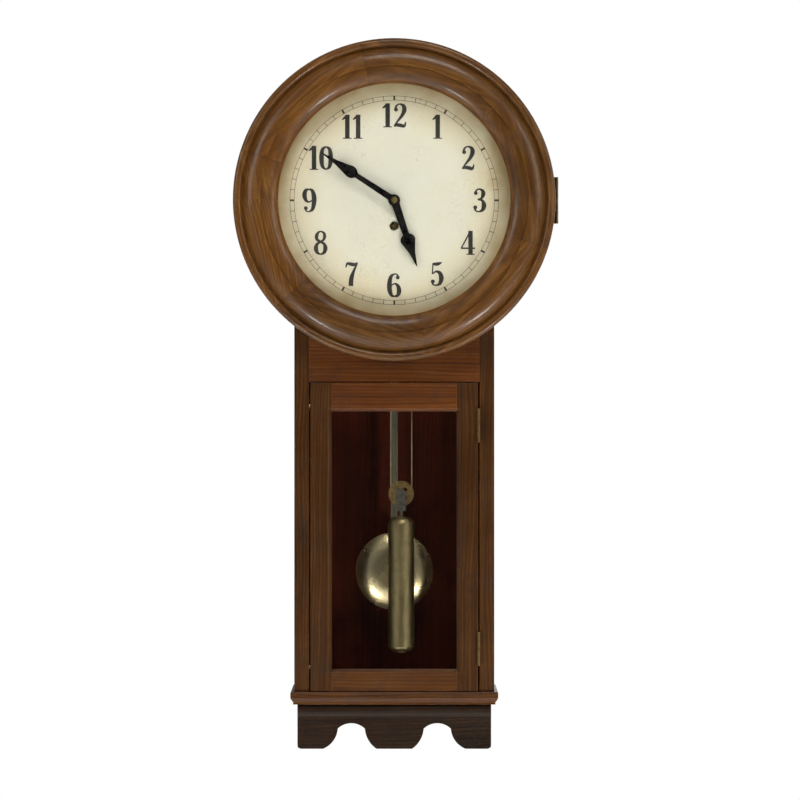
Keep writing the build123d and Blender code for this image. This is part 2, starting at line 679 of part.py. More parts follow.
def plate_outline():
    """A movement plate with clipped upper corners."""
    height, middle = PLATE_HIGH - PLATE_LOW, (PLATE_HIGH + PLATE_LOW) / 2
    return at((0, middle), RectangleRounded(2 * PLATE_HALF_W, height, 7))


def back_plate():
    """The back plate, with the second wheel's cock standing on its front."""
    start, end = BACK_PLATE_F - PLATE_T, BACK_PLATE_F
    plate = forward(plate_outline(), start, end) - pivot_holes(start, end)
    for place in (CENTRE, SECOND):
        plate -= disc(place, PIVOT_R + RUNNING, start, end)
    return plate + second_cock()


def front_plate():
    """The front plate, with the stud that the minute wheel turns on."""
    start, end = FRONT_PLATE_F, FRONT_PLATE_F + PLATE_T
    plate = forward(plate_outline(), start, end) - pivot_holes(start, end)
    plate -= disc(CENTRE, SPINDLE_R + RUNNING, start, end)
    return plate + disc(MOTION, MOTION_STUD_R, end, end + 9.5)


def pillars():
    """The four turned pillars that hold the plates apart."""
    made = []
    for place in PILLARS:
        pillar = disc(place, 3.2, BACK_PLATE_F, FRONT_PLATE_F)
        for start, end in (between(0, 2.5), between(31.5, 34), between(14.5, 19.5)):
            pillar += disc(place, 4.4, start, end)
        made.append(pillar)
    return Compound(made)


def movement_bracket(side):
    """A cast bracket from the backboard to the back plate, with a flange at each end and a web."""
    low, high = PLATE_LOW + 8, -20.0
    inner, outer = sorted((side * 24.0, side * 40.0))
    web = sorted((side * 30.0, side * 34.0))
    back, front = BACK_T, BACK_PLATE_F - PLATE_T
    foot = box(inner, outer, back, back + 4, low - 10, high + 10)
    pad = box(inner, outer, front - 4, front, low, high)
    return foot + pad + box(*web, back, front, low, high)


CHOPS_LOW, SLIT = PIVOT_Z - 1.0, 1.4


def suspension_cock():
    """The brass cock behind the back plate, slit below for the pendulum's suspension spring."""
    plate_back = BACK_PLATE_F - PLATE_T
    foot = box(-11, 11, plate_back - 3, plate_back, PIVOT_Z + 2.5, PIVOT_Z + 11)
    arm = box(-5, 5, PENDULUM_F - 6, plate_back - 3, PIVOT_Z + 2.5, PIVOT_Z + 11)
    chops = box(-5, 5, PENDULUM_F - 6, PENDULUM_F + 6, CHOPS_LOW, PIVOT_Z + 11)
    slit = box(-SLIT / 2, SLIT / 2, PENDULUM_F - 6, PENDULUM_F + 6, CHOPS_LOW, PIVOT_Z + 6)
    return foot + arm + chops - slit


def cable_stud():
    """The steel stud between the plates that the cord's still end is tied to."""
    return disc((STUD_X, STUD_Z), STUD_R, BACK_PLATE_F, FRONT_PLATE_F)


# ---------------------------------------------------------------- hands and motion work


CANNON_R, HOUR_PIPE_R, PIPE_GAP = 3.0, 4.4, 0.1


def cannon_pinion():
    """The cannon pinion on the centre arbor, whose pipe carries the minute hand."""
    gear = pinion(CANNON_T, CANNON_M, CENTRE, MOTION)
    body = forward(gear, FRONT_PLATE_F + PLATE_T + 2.0, FRONT_PLATE_F + PLATE_T + 4.5)
    body += disc(CENTRE, CANNON_R, FRONT_PLATE_F + PLATE_T + 0.6, MINUTE_HAND_F)
    return body - disc(CENTRE, SPINDLE_R, FRONT_PLATE_F, MINUTE_HAND_F)


def motion_wheel():
    """The minute wheel and its pinion, on their stud."""
    base = FRONT_PLATE_F + PLATE_T
    body = forward(wheel(MOTION_T, CANNON_M, MOTION, CENTRE), base + 2.4, base + 4.1)
    body -= forward(crossings(MOTION, 14.2, 6.0, 4, 2.8, turn=0.0), base + 2.4, base + 4.1)
    body += forward(pinion(MOTION_LEAVES, HOUR_M, MOTION, CENTRE), base + 4.1, base + 8.6)
    body += disc(MOTION, 2.6, base + 0.4, base + 2.4)
    return body - disc(MOTION, MOTION_STUD_R + RUNNING, base, base + 9)


def hour_wheel():
    """The hour wheel, whose pipe turns on the cannon pinion's and carries the hour hand."""
    base = FRONT_PLATE_F + PLATE_T
    body = forward(wheel(HOUR_T, HOUR_M, CENTRE, MOTION), base + 6.2, base + 8.0)
    body += disc(CENTRE, HOUR_PIPE_R, base + 5.4, HOUR_HAND_F)
    return body - disc(CENTRE, CANNON_R + PIPE_GAP, base, HOUR_HAND_F)


def spade_hand(length, width, boss_r, hole_r):
    """A spade hand pointing up: a slim shaft from a boss, a heart-shaped spade and a fine tip."""
    spade_low, spade_high = 0.52 * length, 0.80 * length
    shaft = 0.22 * width
    neck = 0.34 * width
    right = [
        Line((0, 0), (shaft * 1.3, 0)),
        Line((shaft * 1.3, 0), (shaft, spade_low)),
        ThreePointArc((shaft, spade_low), (0.38 * width, spade_low + 0.02 * length), (width / 2, 0.62 * length)),
        ThreePointArc((width / 2, 0.62 * length), (neck, 0.71 * length), (shaft * 0.9, spade_high)),
        Line((shaft * 0.9, spade_high), (0.5, length)),
        Line((0.5, length), (0, length)),
        Line((0, length), (0, 0)),
    ]
    half = make_face(right)
    return half + mirror(half, about=Plane.YZ) + Circle(boss_r) - Circle(hole_r)


def minute_hand():
    outline = spade_hand(MINUTE_LENGTH, 15.0, 5.6, SPINDLE_R)
    return forward(at(CENTRE, Rot(0, 0, -MINUTE_ANGLE) * outline), MINUTE_HAND_F, MINUTE_HAND_F + HAND_T)


def hand_collet():
    """The brass nut and washer that hold the minute hand on its spindle."""
    front = MINUTE_HAND_F + HAND_T
    nut = disc(CENTRE, 4.2, front, front + 0.8) + disc(CENTRE, 2.8, front + 0.8, front + 2.6)
    return nut - disc(CENTRE, SPINDLE_R, front, front + 2.0)


def hour_hand():
    outline = spade_hand(HOUR_LENGTH, 19.0, 7.6, CANNON_R + PIPE_GAP)
    return forward(at(CENTRE, Rot(0, 0, -HOUR_ANGLE) * outline), HOUR_HAND_F, HOUR_HAND_F + HAND_T)


# ---------------------------------------------------------------- escapement and pendulum


def pallets():
    """The deadbeat anchor on the verge arbor. Its nibs are arcs about the verge, on a tooth's own radius."""
    nib_ring = Circle(PALLET_R + NIB_T / 2) - Circle(PALLET_R - NIB_T / 2)
    below_yoke = Pos(0, -PALLET_R) * Rectangle(4 * PALLET_R, 2 * PALLET_R - 16)
    nibs = at(VERGE, nib_ring & below_yoke) - at(ESCAPE, Circle(ESCAPE_R + 0.2))
    outside = at((0, VERGE[1] - 26), Rectangle(80, 20.0))
    nibs = nibs - outside
    yoke = Polyline((-21.2, -9.0), (-4, 4), (4, 4), (21.2, -9.0), (20.2, -10.4), (0, -2.4), (-20.2, -10.4), close=True)
    anchor = nibs + at(VERGE, make_face(yoke))
    body = forward(anchor, *between(6.2, 7.8))
    body += disc(VERGE, ARBOR_R, BACK_PLATE_F + 0.4, FRONT_PLATE_F - 0.4)
    return body + disc(VERGE, PIVOT_R, PENDULUM_F + 8.5, FRONT_PLATE_F + PLATE_T + 0.2)


CRUTCH_LOW = 8.0
ROD_W, ROD_T = 9.0, 5.0


def crutch():
    """The crutch behind the back plate, forked round the pendulum rod."""
    front = PENDULUM_F + 11.5
    stem = box(-1.6, 1.6, front - 2.5, front, CRUTCH_LOW, PIVOT_Z)
    hub = disc(VERGE, 2.2, front - 2.5, front)
    reach = ROD_W / 2 + 0.25
    bridge = box(-reach - 1.5, reach + 1.5, front - 2.5, front, CRUTCH_LOW, CRUTCH_LOW + 4)
    fork = None
    for low, high in ((-reach - 1.5, -reach), (reach, reach + 1.5)):
        prong = box(low, high, PENDULUM_F - 3.5, front - 2.5, CRUTCH_LOW, CRUTCH_LOW + 4)
        fork = prong if fork is None else fork + prong
    return stem + hub + bridge + fork - disc(VERGE, PIVOT_R, front - 2.5, front)


BLOCK_TOP, BLOCK_LOW = 66.0, 46.0


def suspension_spring():
    """The flat steel suspension spring and the brass block below it that the rod hangs from."""
    spring = box(-0.15, 0.15, PENDULUM_F - 4, PENDULUM_F + 4, BLOCK_TOP - 1, PIVOT_Z + 4)
    block = box(-4, 4, PENDULUM_F - 3.5, PENDULUM_F + 3.5, BLOCK_LOW, BLOCK_TOP)
    return spring + block


ROD_LOW = BOB_Z - BOB_R - 4.0


def pendulum_rod():
    """The flat wooden rod, from the suspension block to the rating screw."""
    rod = box(-ROD_W / 2, ROD_W / 2, PENDULUM_F - ROD_T / 2, PENDULUM_F + ROD_T / 2, ROD_LOW, BLOCK_LOW)
    return rod


def rating_nut():
    """The rating screw below the rod and the knurled nut that the bob sits on."""
    screw = post(0, PENDULUM_F, 1.8, ROD_LOW - 16, ROD_LOW)
    return screw + post(0, PENDULUM_F, 6.5, ROD_LOW - 6, ROD_LOW - 1.5)


def bob():
    """The lens-shaped brass bob, bored for the rod."""
    edge = 3.0
    profile = [
        Line((0, -BOB_HALF_T), (18, -BOB_HALF_T + 0.3)),
        ThreePointArc((18, -BOB_HALF_T + 0.3), (38, -9.2), (BOB_R, -edge / 2)),
        Line((BOB_R, -edge / 2), (BOB_R, edge / 2)),
        ThreePointArc((BOB_R, edge / 2), (38, 9.2), (18, BOB_HALF_T - 0.3)),
        Line((18, BOB_HALF_T - 0.3), (0, BOB_HALF_T)),
        Line((0, BOB_HALF_T), (0, -BOB_HALF_T)),
    ]
    plane = Plane(origin=(0, -PENDULUM_F, DIAL_Z + BOB_Z), x_dir=(1, 0, 0), z_dir=(0, 0, -1))
    axis = Axis((0, -PENDULUM_F, DIAL_Z + BOB_Z), (0, 1, 0))
    disc_body = revolve(plane * make_face(profile), axis)
    slot_w, slot_t = ROD_W / 2 + 0.05, ROD_T / 2 + 0.05
    slot = box(-slot_w, slot_w, PENDULUM_F - slot_t, PENDULUM_F + slot_t, BOB_Z - 60, BOB_Z + 60)
    return disc_body - slot


# ---------------------------------------------------------------- weight, pulley and cord


def weight():
    """The brass weight: a plain tube with domed, beaded ends and a neck for its hook."""
    r, low, high = WEIGHT_R, WEIGHT_BOTTOM, WEIGHT_TOP
    outline = [
        Line((0, low), (6, low)),
        Line((6, low), (6, low + 2)),
        ThreePointArc((6, low + 2), (14.0, low + 3.4), (r - 0.8, low + 7)),
        Line((r - 0.8, low + 7), (r, low + 8)),
        Line((r, low + 8), (r, high - 9)),
        Line((r, high - 9), (r - 0.8, high - 8)),
        ThreePointArc((r - 0.8, high - 8), (13.0, high - 3.4), (5, high - 1)),
        Line((5, high - 1), (5, high)),
        Line((5, high), (0, high)),
        Line((0, high), (0, low)),
    ]
    return turned_upright(PULLEY_X, CABLE_F, outline)


STIRRUP_T, STIRRUP_W, AXLE_R = 1.2, 12.0, 2.0


def stirrup():
    """The pulley's stirrup: two cheeks over a cross block, a hook stem into the weight, and the axle."""
    x, gap, outer = PULLEY_X, PULLEY_W / 2 + 0.4, PULLEY_W / 2 + 0.4 + STIRRUP_T
    low, high = PULLEY_Z - PULLEY_FLANGE_R - 6.0, PULLEY_Z + 6.0
    block = box(x - STIRRUP_W / 2, x + STIRRUP_W / 2, CABLE_F - outer, CABLE_F + outer, low, low + 4)
    body = block + post(x, CABLE_F, 2.6, WEIGHT_TOP, low + 1)
    for start, end in ((CABLE_F - outer, CABLE_F - gap), (CABLE_F + gap, CABLE_F + outer)):
        body += box(x - STIRRUP_W / 2, x + STIRRUP_W / 2, start, end, low, PULLEY_Z)
        body += disc((x, PULLEY_Z), STIRRUP_W / 2, start, end)
    return body + disc((x, PULLEY_Z), AXLE_R, CABLE_F - outer - 0.8, CABLE_F + outer + 0.8)


def pulley():
    """The grooved brass pulley, with four round windows."""
    place, half = (PULLEY_X, PULLEY_Z), PULLEY_W / 2
    groove_half = CABLE_R + 0.35
    body = disc(place, PULLEY_FLANGE_R, CABLE_F - half, CABLE_F + half)
    hollow = disc(place, PULLEY_FLANGE_R, CABLE_F - groove_half, CABLE_F + groove_half)
    body -= hollow - disc(place, PULLEY_R - 0.05, CABLE_F - groove_half, CABLE_F + groove_half)
    for number in range(4):
        x, z = polar(7.4, 45 + 90 * number)
        body -= disc((PULLEY_X + x, PULLEY_Z + z), 2.6, CABLE_F - half, CABLE_F + half)
    return body - disc(place, AXLE_R + RUNNING, CABLE_F - half, CABLE_F + half)


CABLE_TOP_RIGHT, CABLE_TOP_LEFT = DRUM[1], STUD_Z - STUD_R - 0.05


def cable_runs():
    """The cord's two upright runs: down from the drum, and up to the stud."""
    right = post(CABLE_ON_DRUM_R + 0.05, CABLE_F, CABLE_R, PULLEY_Z + 0.02, CABLE_TOP_RIGHT)
    left = post(STUD_X, CABLE_F, CABLE_R, PULLEY_Z + 0.02, CABLE_TOP_LEFT)
    return Compound([right, left])


def cable_loop():
    """The half turn of cord under the pulley."""
    plane = Plane(origin=(PULLEY_X, -CABLE_F, DIAL_Z + PULLEY_Z), x_dir=(1, 0, 0), z_dir=(0, 0, 1))
    section = plane * (Pos(CABLE_ON_PULLEY_R + 0.03, 0) * Circle(CABLE_R))
    axis = Axis((PULLEY_X, -CABLE_F, DIAL_Z + PULLEY_Z), (0, 1, 0))
    return revolve(section, axis, revolution_arc=180)


# ---------------------------------------------------------------- every piece, by name


SIDES = {"left": -1, "right": 1}
PIECES = {
    "backboard": backboard(),
    "hanger_plate": hanger_plate(),
    "hanger_screws": hanger_screws(),
    "bottom_board": bottom_board(),
    "neck_rail": neck_rail(),
    "head_shell": head_shell(),
    "dial_board": dial_board(),
    "dial": dial(),
    "base_moulding_front": base_moulding("front"),
    "apron_front": apron_front(),
    "ball_catches": ball_catches(),
    "head_ring": head_ring(),
    "head_glass": head_glass(),
    "glass_retainer": glass_retainer(),
    "head_hinge_leaf": head_hinge_door(),
    "hinge_leaves_case": hinge_leaves_case(),
    "trunk_hinge_leaves": trunk_hinge_leaves(),
    "door_rail_top": door_rail(GLASS_TOP, DOOR_TOP),
    "door_rail_bottom": door_rail(DOOR_BOTTOM, GLASS_BOTTOM),
    "door_glass": door_glass(),
    "door_bead": door_bead(),
    "back_plate": back_plate(),
    "front_plate": front_plate(),
    "pillars": pillars(),
    "suspension_cock": suspension_cock(),
    "cable_stud": cable_stud(),
    "centre_wheel": centre_wheel(),
    "second_wheel": second_wheel(),
    "third_wheel": third_wheel(),
    "escape_wheel": escape_wheel(),
    "great_wheel": great_wheel(),
    "drum": drum(),
    "click": click(),
    "cannon_pinion": cannon_pinion(),
    "motion_wheel": motion_wheel(),
    "hour_wheel": hour_wheel(),
    "minute_hand": minute_hand(),
    "hand_collet": hand_collet(),
    "hour_hand": hour_hand(),
    "pallets": pallets(),
    "crutch": crutch(),
    "suspension_spring": suspension_spring(),
    "pendulum_rod": pendulum_rod(),
    "rating_nut": rating_nut(),
    "bob": bob(),
    "weight": weight(),
    "stirrup": stirrup(),
    "pulley": pulley(),
    "cable_runs": cable_runs(),
    "cable_loop": cable_loop(),
}
for name, side in SIDES.items():
    PIECES[f"trunk_side_{name}"] = trunk_side(side)
    PIECES[f"base_moulding_{name}"] = base_moulding(side)
    PIECES[f"apron_{name}"] = apron_side(side)
    PIECES[f"door_stile_{name}"] = door_stile(side)
    PIECES[f"movement_bracket_{name}"] = movement_bracket(side)

os.makedirs("parts", exist_ok=True)
for node, piece in PIECES.items():
    export_step(piece, f"parts/{node}.step")
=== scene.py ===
import math

import bmesh
import bpy
from mathutils import Matrix, Vector


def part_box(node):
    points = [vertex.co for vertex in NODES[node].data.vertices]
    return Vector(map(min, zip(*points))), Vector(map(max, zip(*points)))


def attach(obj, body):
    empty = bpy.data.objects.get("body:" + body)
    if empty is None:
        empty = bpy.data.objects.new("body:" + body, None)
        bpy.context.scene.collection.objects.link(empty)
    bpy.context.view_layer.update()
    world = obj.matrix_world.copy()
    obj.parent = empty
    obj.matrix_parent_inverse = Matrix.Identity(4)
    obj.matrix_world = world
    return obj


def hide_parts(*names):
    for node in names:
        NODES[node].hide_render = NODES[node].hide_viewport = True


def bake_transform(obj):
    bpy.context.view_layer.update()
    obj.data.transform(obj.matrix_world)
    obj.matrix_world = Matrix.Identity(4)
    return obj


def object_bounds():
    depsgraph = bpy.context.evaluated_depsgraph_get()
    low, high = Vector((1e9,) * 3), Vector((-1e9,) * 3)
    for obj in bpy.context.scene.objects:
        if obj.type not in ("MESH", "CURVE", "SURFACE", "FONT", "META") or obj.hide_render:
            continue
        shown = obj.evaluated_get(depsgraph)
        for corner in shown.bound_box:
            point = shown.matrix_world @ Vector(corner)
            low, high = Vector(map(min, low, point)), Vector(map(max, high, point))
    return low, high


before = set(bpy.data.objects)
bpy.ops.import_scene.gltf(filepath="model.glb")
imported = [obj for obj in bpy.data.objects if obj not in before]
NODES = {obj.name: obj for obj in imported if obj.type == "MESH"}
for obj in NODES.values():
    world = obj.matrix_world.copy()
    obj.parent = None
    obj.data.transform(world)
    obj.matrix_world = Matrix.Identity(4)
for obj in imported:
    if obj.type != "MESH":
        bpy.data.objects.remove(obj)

CAD_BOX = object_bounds()


def middle(node):
    """The middle of a CAD node's box."""
    low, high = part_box(node)
    return (low + high) / 2


DIAL = middle("dial")
DIAL_FACE_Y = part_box("dial")[0].y
BOB = middle("bob")
PULLEY = middle("pulley")
DRUM = middle("drum")


# ---------------------------------------------------------------- materials


class Tree:
    """A node tree being put together. A socket is fed either a value or another node's output."""

    def __init__(self, owner, output):
        owner.use_nodes = True
        self.nodes, self.links = owner.node_tree.nodes, owner.node_tree.links
        self.nodes.clear()
        self.output = self.node(output)

    def feed(self, socket, value):
        if isinstance(value, bpy.types.NodeSocket):
            self.links.new(value, socket)
        elif socket.type == "RGBA":
            socket.default_value = (*value, 1.0)
        else:
            socket.default_value = value

    def node(self, kind, inputs=None, **settings):
        made = self.nodes.new("ShaderNode" + kind)
        for key, value in settings.items():
            setattr(made, key, value)
        for key, value in (inputs or {}).items():
            self.feed(made.inputs[key], value)
        return made

    def work(self, operation, first, second=0.0):
        """One step of arithmetic."""
        return self.node("Math", {0: first, 1: second}, operation=operation).outputs[0]

    def vector(self, x, y, z):
        return self.node("CombineXYZ", {0: x, 1: y, 2: z}).outputs[0]

    def scaled(self, values, factors):
        """A vector of values, each times its own factor."""
        return self.vector(*(self.work("MULTIPLY", *pair) for pair in zip(values, factors)))

    def length(self, vector):
        return self.node("VectorMath", {0: vector}, operation="LENGTH").outputs["Value"]

    def stretch(self, value, low, high, to_low=0.0, to_high=1.0):
        """A value's range moved to another, clamped."""
        ends = {"From Min": low, "From Max": high, "To Min": to_low, "To Max": to_high}
        return self.node("MapRange", {"Value": value, **ends}, clamp=True).outputs[0]


class Paint(Tree):
    """A material being put together, with a Principled shader at its end."""

    def __init__(self, name):
        self.material = bpy.data.materials.new(name)
        super().__init__(self.material, "OutputMaterial")
        self.shader = self.node("BsdfPrincipled")
        self.feed(self.output.inputs[0], self.shader.outputs[0])

    def set(self, **values):
        """Sets the Principled shader's own sockets. An underscore in a name stands for a space."""
        for key, value in values.items():
            self.feed(self.shader.inputs[key.replace("_", " ")], value)
        return self

    def base_colour(self):
        """The output that feeds the shader's base colour."""
        return self.shader.inputs["Base Color"].links[0].from_socket

    def point(self):
        """A surface point's place in the frame."""
        return self.node("TexCoord").outputs["Object"]

    def place(self, origin=(0, 0, 0)):
        """The x, y and z of a surface point, measured from origin."""
        moved = self.node("VectorMath", {0: self.point(), 1: origin}, operation="SUBTRACT")
        return self.node("SeparateXYZ", {0: moved.outputs[0]}).outputs

    def noise(self, point, scale=1.0, detail=3.0, roughness=0.55):
        inputs = {"Vector": point, "Scale": scale, "Detail": detail, "Roughness": roughness}
        return self.node("TexNoise", inputs).outputs[0]

    def ramp(self, value, stops):
        """A colour ramp from (place, colour) pairs."""
        made = self.node("ValToRGB", {0: value})
        elements = made.color_ramp.elements
        while len(elements) < len(stops):
            elements.new(0.5)
        for element, (at, colour) in zip(elements, stops):
            element.position, element.color = at, (*colour, 1.0)
        return made.outputs[0]

    def mix(self, share, first, second, blend="MIX"):
        inputs = {0: share, 6: first, 7: second}
        return self.node("Mix", inputs, data_type="RGBA", blend_type=blend).outputs[2]

    def tinted(self, colour, mask, share, other):
        """A colour turned towards another where mask is 1, by share at the most."""
        return self.mix(self.work("MULTIPLY", mask, share), colour, other)

    def bump(self, height, distance, strength=1.0, under=None):
        inputs = {"Height": height, "Distance": distance, "Strength": strength}
        if under is not None:
            inputs["Normal"] = under
        return self.node("Bump", inputs).outputs[0]


# Wood tones, as (dark line, mid, light) colours
TRUNK_TONE = ((0.0130, 0.0038, 0.0004), (0.0400, 0.0135, 0.0014), (0.0880, 0.0345, 0.0050))
RAIL_TONE = ((0.0210, 0.0052, 0.0005), (0.0740, 0.0200, 0.0018), (0.1360, 0.0450, 0.0060))
# The low boards' tone is the rail's walnut made darker, as painted shade on the bottom rail and the base
# moulding.
SHADED_LOW_TONE = ((0.0160, 0.0044, 0.0004), (0.0560, 0.0175, 0.0016), (0.1050, 0.0390, 0.0056))
RING_TONE = ((0.0340, 0.0110, 0.0016), (0.1080, 0.0420, 0.0062), (0.2050, 0.0950, 0.0210))
# The apron's tone is a dark stain made darker still, as painted shade under the base.
SHADED_APRON_TONE = ((0.0030, 0.0011, 0.0003), (0.0125, 0.0049, 0.0012), (0.0310, 0.0138, 0.0040))
# The inside tone is a dark stain made darker still, as painted shade inside the case.
SHADED_INSIDE_TONE = ((0.0090, 0.0020, 0.0004), (0.0260, 0.0060, 0.0012), (0.0420, 0.0110, 0.0024))
ROD_TONE = ((0.030, 0.027, 0.018), (0.070, 0.064, 0.045), (0.12, 0.11, 0.08))
RAW_TONE = ((0.085, 0.050, 0.026), (0.165, 0.105, 0.060), (0.245, 0.170, 0.105))

# A wood's year rings, in metres: how far apart they are, how deep the tree's heart lies and how far
# the grain wanders. RING_DRAWN draws them out along the grain.
RING_SPACING, HEART_DEPTH, WANDER, RING_DRAWN = 0.0042, 0.055, 0.030, 0.06
# The wave texture's own spacing at scale 1
WAVE_SPACING = math.tau / 20
# How finely each layer of the figure repeats along, across and into the grain
WANDER_SCALE = (3.0, 14.0, 1.0)
STREAK_SCALE = (2.2, 150.0, 40.0)
FIBRE_SCALE = (16.0, 760.0, 760.0)
PORE_SCALE = (85.0, 1900.0, 1900.0)
# How much each layer counts in the wood's colour, and the sums at which its three tones are reached
RING_SHARE, STREAK_SHARE, FIBRE_SHARE, CLOUD_SHARE = 0.11, 0.50, 0.34, 0.34
TONE_STOPS = (0.38, 0.64, 0.90)
# How much the pores and the grime darken it, and how dark grime is and how light rubbed wood is
PORES_SHOW, GRIME_SHOWS, GRIME_DARKER, RUBBED_LIGHTER = 0.72, 0.45, 0.55, 1.75
# The roughness of clean and of grimy wood with no gloss, and how much full gloss takes off it
CLEAN_ROUGH, GRIMY_ROUGH = (0.50, 0.28), (0.66, 0.18)
# How wide a worn edge is, and how far the rounded copy turns from the surface on flats and on edges
WEAR_WIDTH, WEAR_FROM, WEAR_TO = 0.0016, 0.97, 0.80


def edge_wear(paint):
    """1 on worn outer edges and 0 on flats, from how far a rounded copy of the surface turns there."""
    rounded = paint.node("Bevel", {"Radius": WEAR_WIDTH}, samples=4).outputs[0]
    true = paint.node("NewGeometry").outputs["Normal"]
    turn = paint.node("VectorMath", {0: rounded, 1: true}, operation="DOT_PRODUCT").outputs["Value"]
    return paint.stretch(turn, WEAR_FROM, WEAR_TO)


def wood_surface(paint, along, across, depth, tone, gloss=0.5, wear=0.6):
    """A wood's colour, gloss and bump, from a point's place along, across and into the grain."""
    dark, _, light = tone
    place = (along, across, depth)
    point = paint.vector(*place)
    wander = paint.noise(paint.scaled(place, WANDER_SCALE), 1.0, 2.0)
    wander = paint.work("MULTIPLY", paint.work("SUBTRACT", wander, 0.5), WANDER)
    wandered = paint.work("ADD", across, wander)
    heart = paint.work("ADD", depth, HEART_DEPTH)
    rings = paint.node(
        "TexWave",
        {
            "Vector": paint.vector(paint.work("MULTIPLY", along, RING_DRAWN), wandered, heart),
            "Scale": WAVE_SPACING / RING_SPACING,
            "Distortion": 3.0,
            "Detail": 2.0,
            "Detail Scale": 0.8,
        },
        wave_type="RINGS",
        rings_direction="X",
        wave_profile="SIN",
    ).outputs[1]
    streaks = paint.noise(paint.scaled((along, wandered, depth), STREAK_SCALE), 1.0, 3.0, 0.6)
    fibre = paint.noise(paint.scaled(place, FIBRE_SCALE), 1.0, 4.0, 0.65)
    pores = paint.stretch(paint.noise(paint.scaled(place, PORE_SCALE), 1.0, 2.0), 0.60, 0.68)
    cloud = paint.noise(point, 11.0, 3.0, 0.6)
    value = paint.work("MULTIPLY", rings, RING_SHARE)
    for layer, share in ((streaks, STREAK_SHARE), (fibre, FIBRE_SHARE), (cloud, CLOUD_SHARE)):
        value = paint.work("ADD", value, paint.work("MULTIPLY", layer, share))
    colour = paint.ramp(value, list(zip(TONE_STOPS, tone)))
    colour = paint.tinted(colour, pores, PORES_SHOW, dark)
    grime = paint.stretch(paint.noise(point, 23.0, 5.0, 0.62), 0.52, 0.74)
    colour = paint.tinted(colour, grime, GRIME_SHOWS, tuple(GRIME_DARKER * part for part in dark))
    if wear:
        patchy = paint.stretch(paint.noise(point, 60.0, 3.0), 0.40, 0.58)
        worn = paint.work("MULTIPLY", edge_wear(paint), patchy)
        rubbed = tuple(RUBBED_LIGHTER * part for part in light)
        colour = paint.tinted(colour, worn, wear, rubbed)
    relief = paint.work("SUBTRACT", paint.work("MULTIPLY", fibre, 0.35), pores)
    normal = paint.bump(relief, 0.00016, 0.8)
    normal = paint.bump(paint.noise(point, 34.0, 2.0), 0.0006, 0.5, normal)
    clean, grimy = (rough - drop * gloss for rough, drop in (CLEAN_ROUGH, GRIMY_ROUGH))
    rough = paint.stretch(paint.work("ADD", cloud, grime), 0.3, 1.3, clean, grimy)
    paint.set(Base_Color=colour, Roughness=rough, Normal=normal)
    paint.set(Specular_IOR_Level=0.08 + 0.24 * gloss)
    return paint.set(Coat_Weight=0.30 * gloss, Coat_Roughness=0.14, Coat_IOR=1.5)


# For a grain along each axis, which axes run along, across and into it
GRAIN = {"x": (0, 2, 1), "y": (1, 2, 0), "z": (2, 0, 1)}
PLANK_STEP = (0.31, -0.17, 0.23)


def board(name, grain, tone, seed, gloss=0.5, wear=0.6):
    """Straight-grained wood for a board. seed moves each board to its own part of the plank."""
    paint = Paint(name)
    place = paint.place(tuple(step * seed for step in PLANK_STEP))
    along, across, depth = (place[number] for number in GRAIN[grain])
    return wood_surface(paint, along, across, depth, tone, gloss, wear).material


RING_SEGMENTS, FIRST_JOINT = 6, 0.31
# How far each segment moves on along and into the plank, and the shades that noise picks for them
SEGMENT_STEP_ALONG, SEGMENT_STEP_DEEP = 0.47, 0.19
SEGMENT_SHADES = [(0.3, (0.72, 0.72, 0.72)), (0.7, (1.18, 1.14, 1.08))]
SHADE_ROW, SHADE_SCALE = (3.7, 1.3), 2.3
# Where the glue line starts and is full, from the segment's middle at 0 to its end at 0.5
JOINT_FROM, JOINT_TO, JOINT_SHOWS = 0.4975, 0.4988, 0.8


def segment_ring(name, tone, gloss=0.6, wear=0.55):
    """Wood for a turned ring: segments glued end to end, each with its grain along its own chord."""
    paint = Paint(name)
    x, y, z = paint.place(DIAL)
    step = math.tau / RING_SEGMENTS
    turn = paint.work("ADD", paint.work("ARCTAN2", z, x), math.pi + FIRST_JOINT)
    share = paint.work("DIVIDE", turn, step)
    number = paint.work("FLOOR", share)
    centre = paint.work("MULTIPLY", paint.work("ADD", number, 0.5), step)
    centre = paint.work("SUBTRACT", centre, math.pi + FIRST_JOINT)
    cosine, sine = paint.work("COSINE", centre), paint.work("SINE", centre)
    radial = paint.work("ADD", paint.work("MULTIPLY", x, cosine), paint.work("MULTIPLY", z, sine))
    chord = paint.work("SUBTRACT", paint.work("MULTIPLY", z, cosine), paint.work("MULTIPLY", x, sine))
    chord = paint.work("ADD", chord, paint.work("MULTIPLY", number, SEGMENT_STEP_ALONG))
    deep = paint.work("ADD", y, paint.work("MULTIPLY", number, SEGMENT_STEP_DEEP))
    wood_surface(paint, chord, radial, deep, tone, gloss, wear)
    pick = paint.noise(paint.vector(number, *SHADE_ROW), SHADE_SCALE, 0.0)
    colour = paint.mix(1.0, paint.base_colour(), paint.ramp(pick, SEGMENT_SHADES), "MULTIPLY")
    edge = paint.work("ABSOLUTE", paint.work("SUBTRACT", paint.work("FRACT", share), 0.5))
    joint = paint.stretch(edge, JOINT_FROM, JOINT_TO)
    return paint.set(Base_Color=paint.tinted(colour, joint, JOINT_SHOWS, tone[0])).material


SHELL_R = 0.188


def bent_wood(name, tone):
    """Veneer bent round the head, with its grain running round the circle."""
    paint = Paint(name)
    x, y, z = paint.place(DIAL)
    radius = paint.length(paint.vector(x, 0.0, z))
    round_way = paint.work("MULTIPLY", paint.work("ARCTAN2", x, z), SHELL_R)
    return wood_surface(paint, round_way, y, radius, tone, 0.5, 0.5).material


# Colours the backboard is multiplied by: a red stain inside the case, kept dark as painted shade; brown
# on its edges; and painted shade on its foot below the bottom board.
RED_STAIN_AND_SHADE, EDGE_STAIN, FOOT_SHADE = (0.30, 0.062, 0.018), (0.28, 0.15, 0.035), (0.050, 0.030, 0.012)


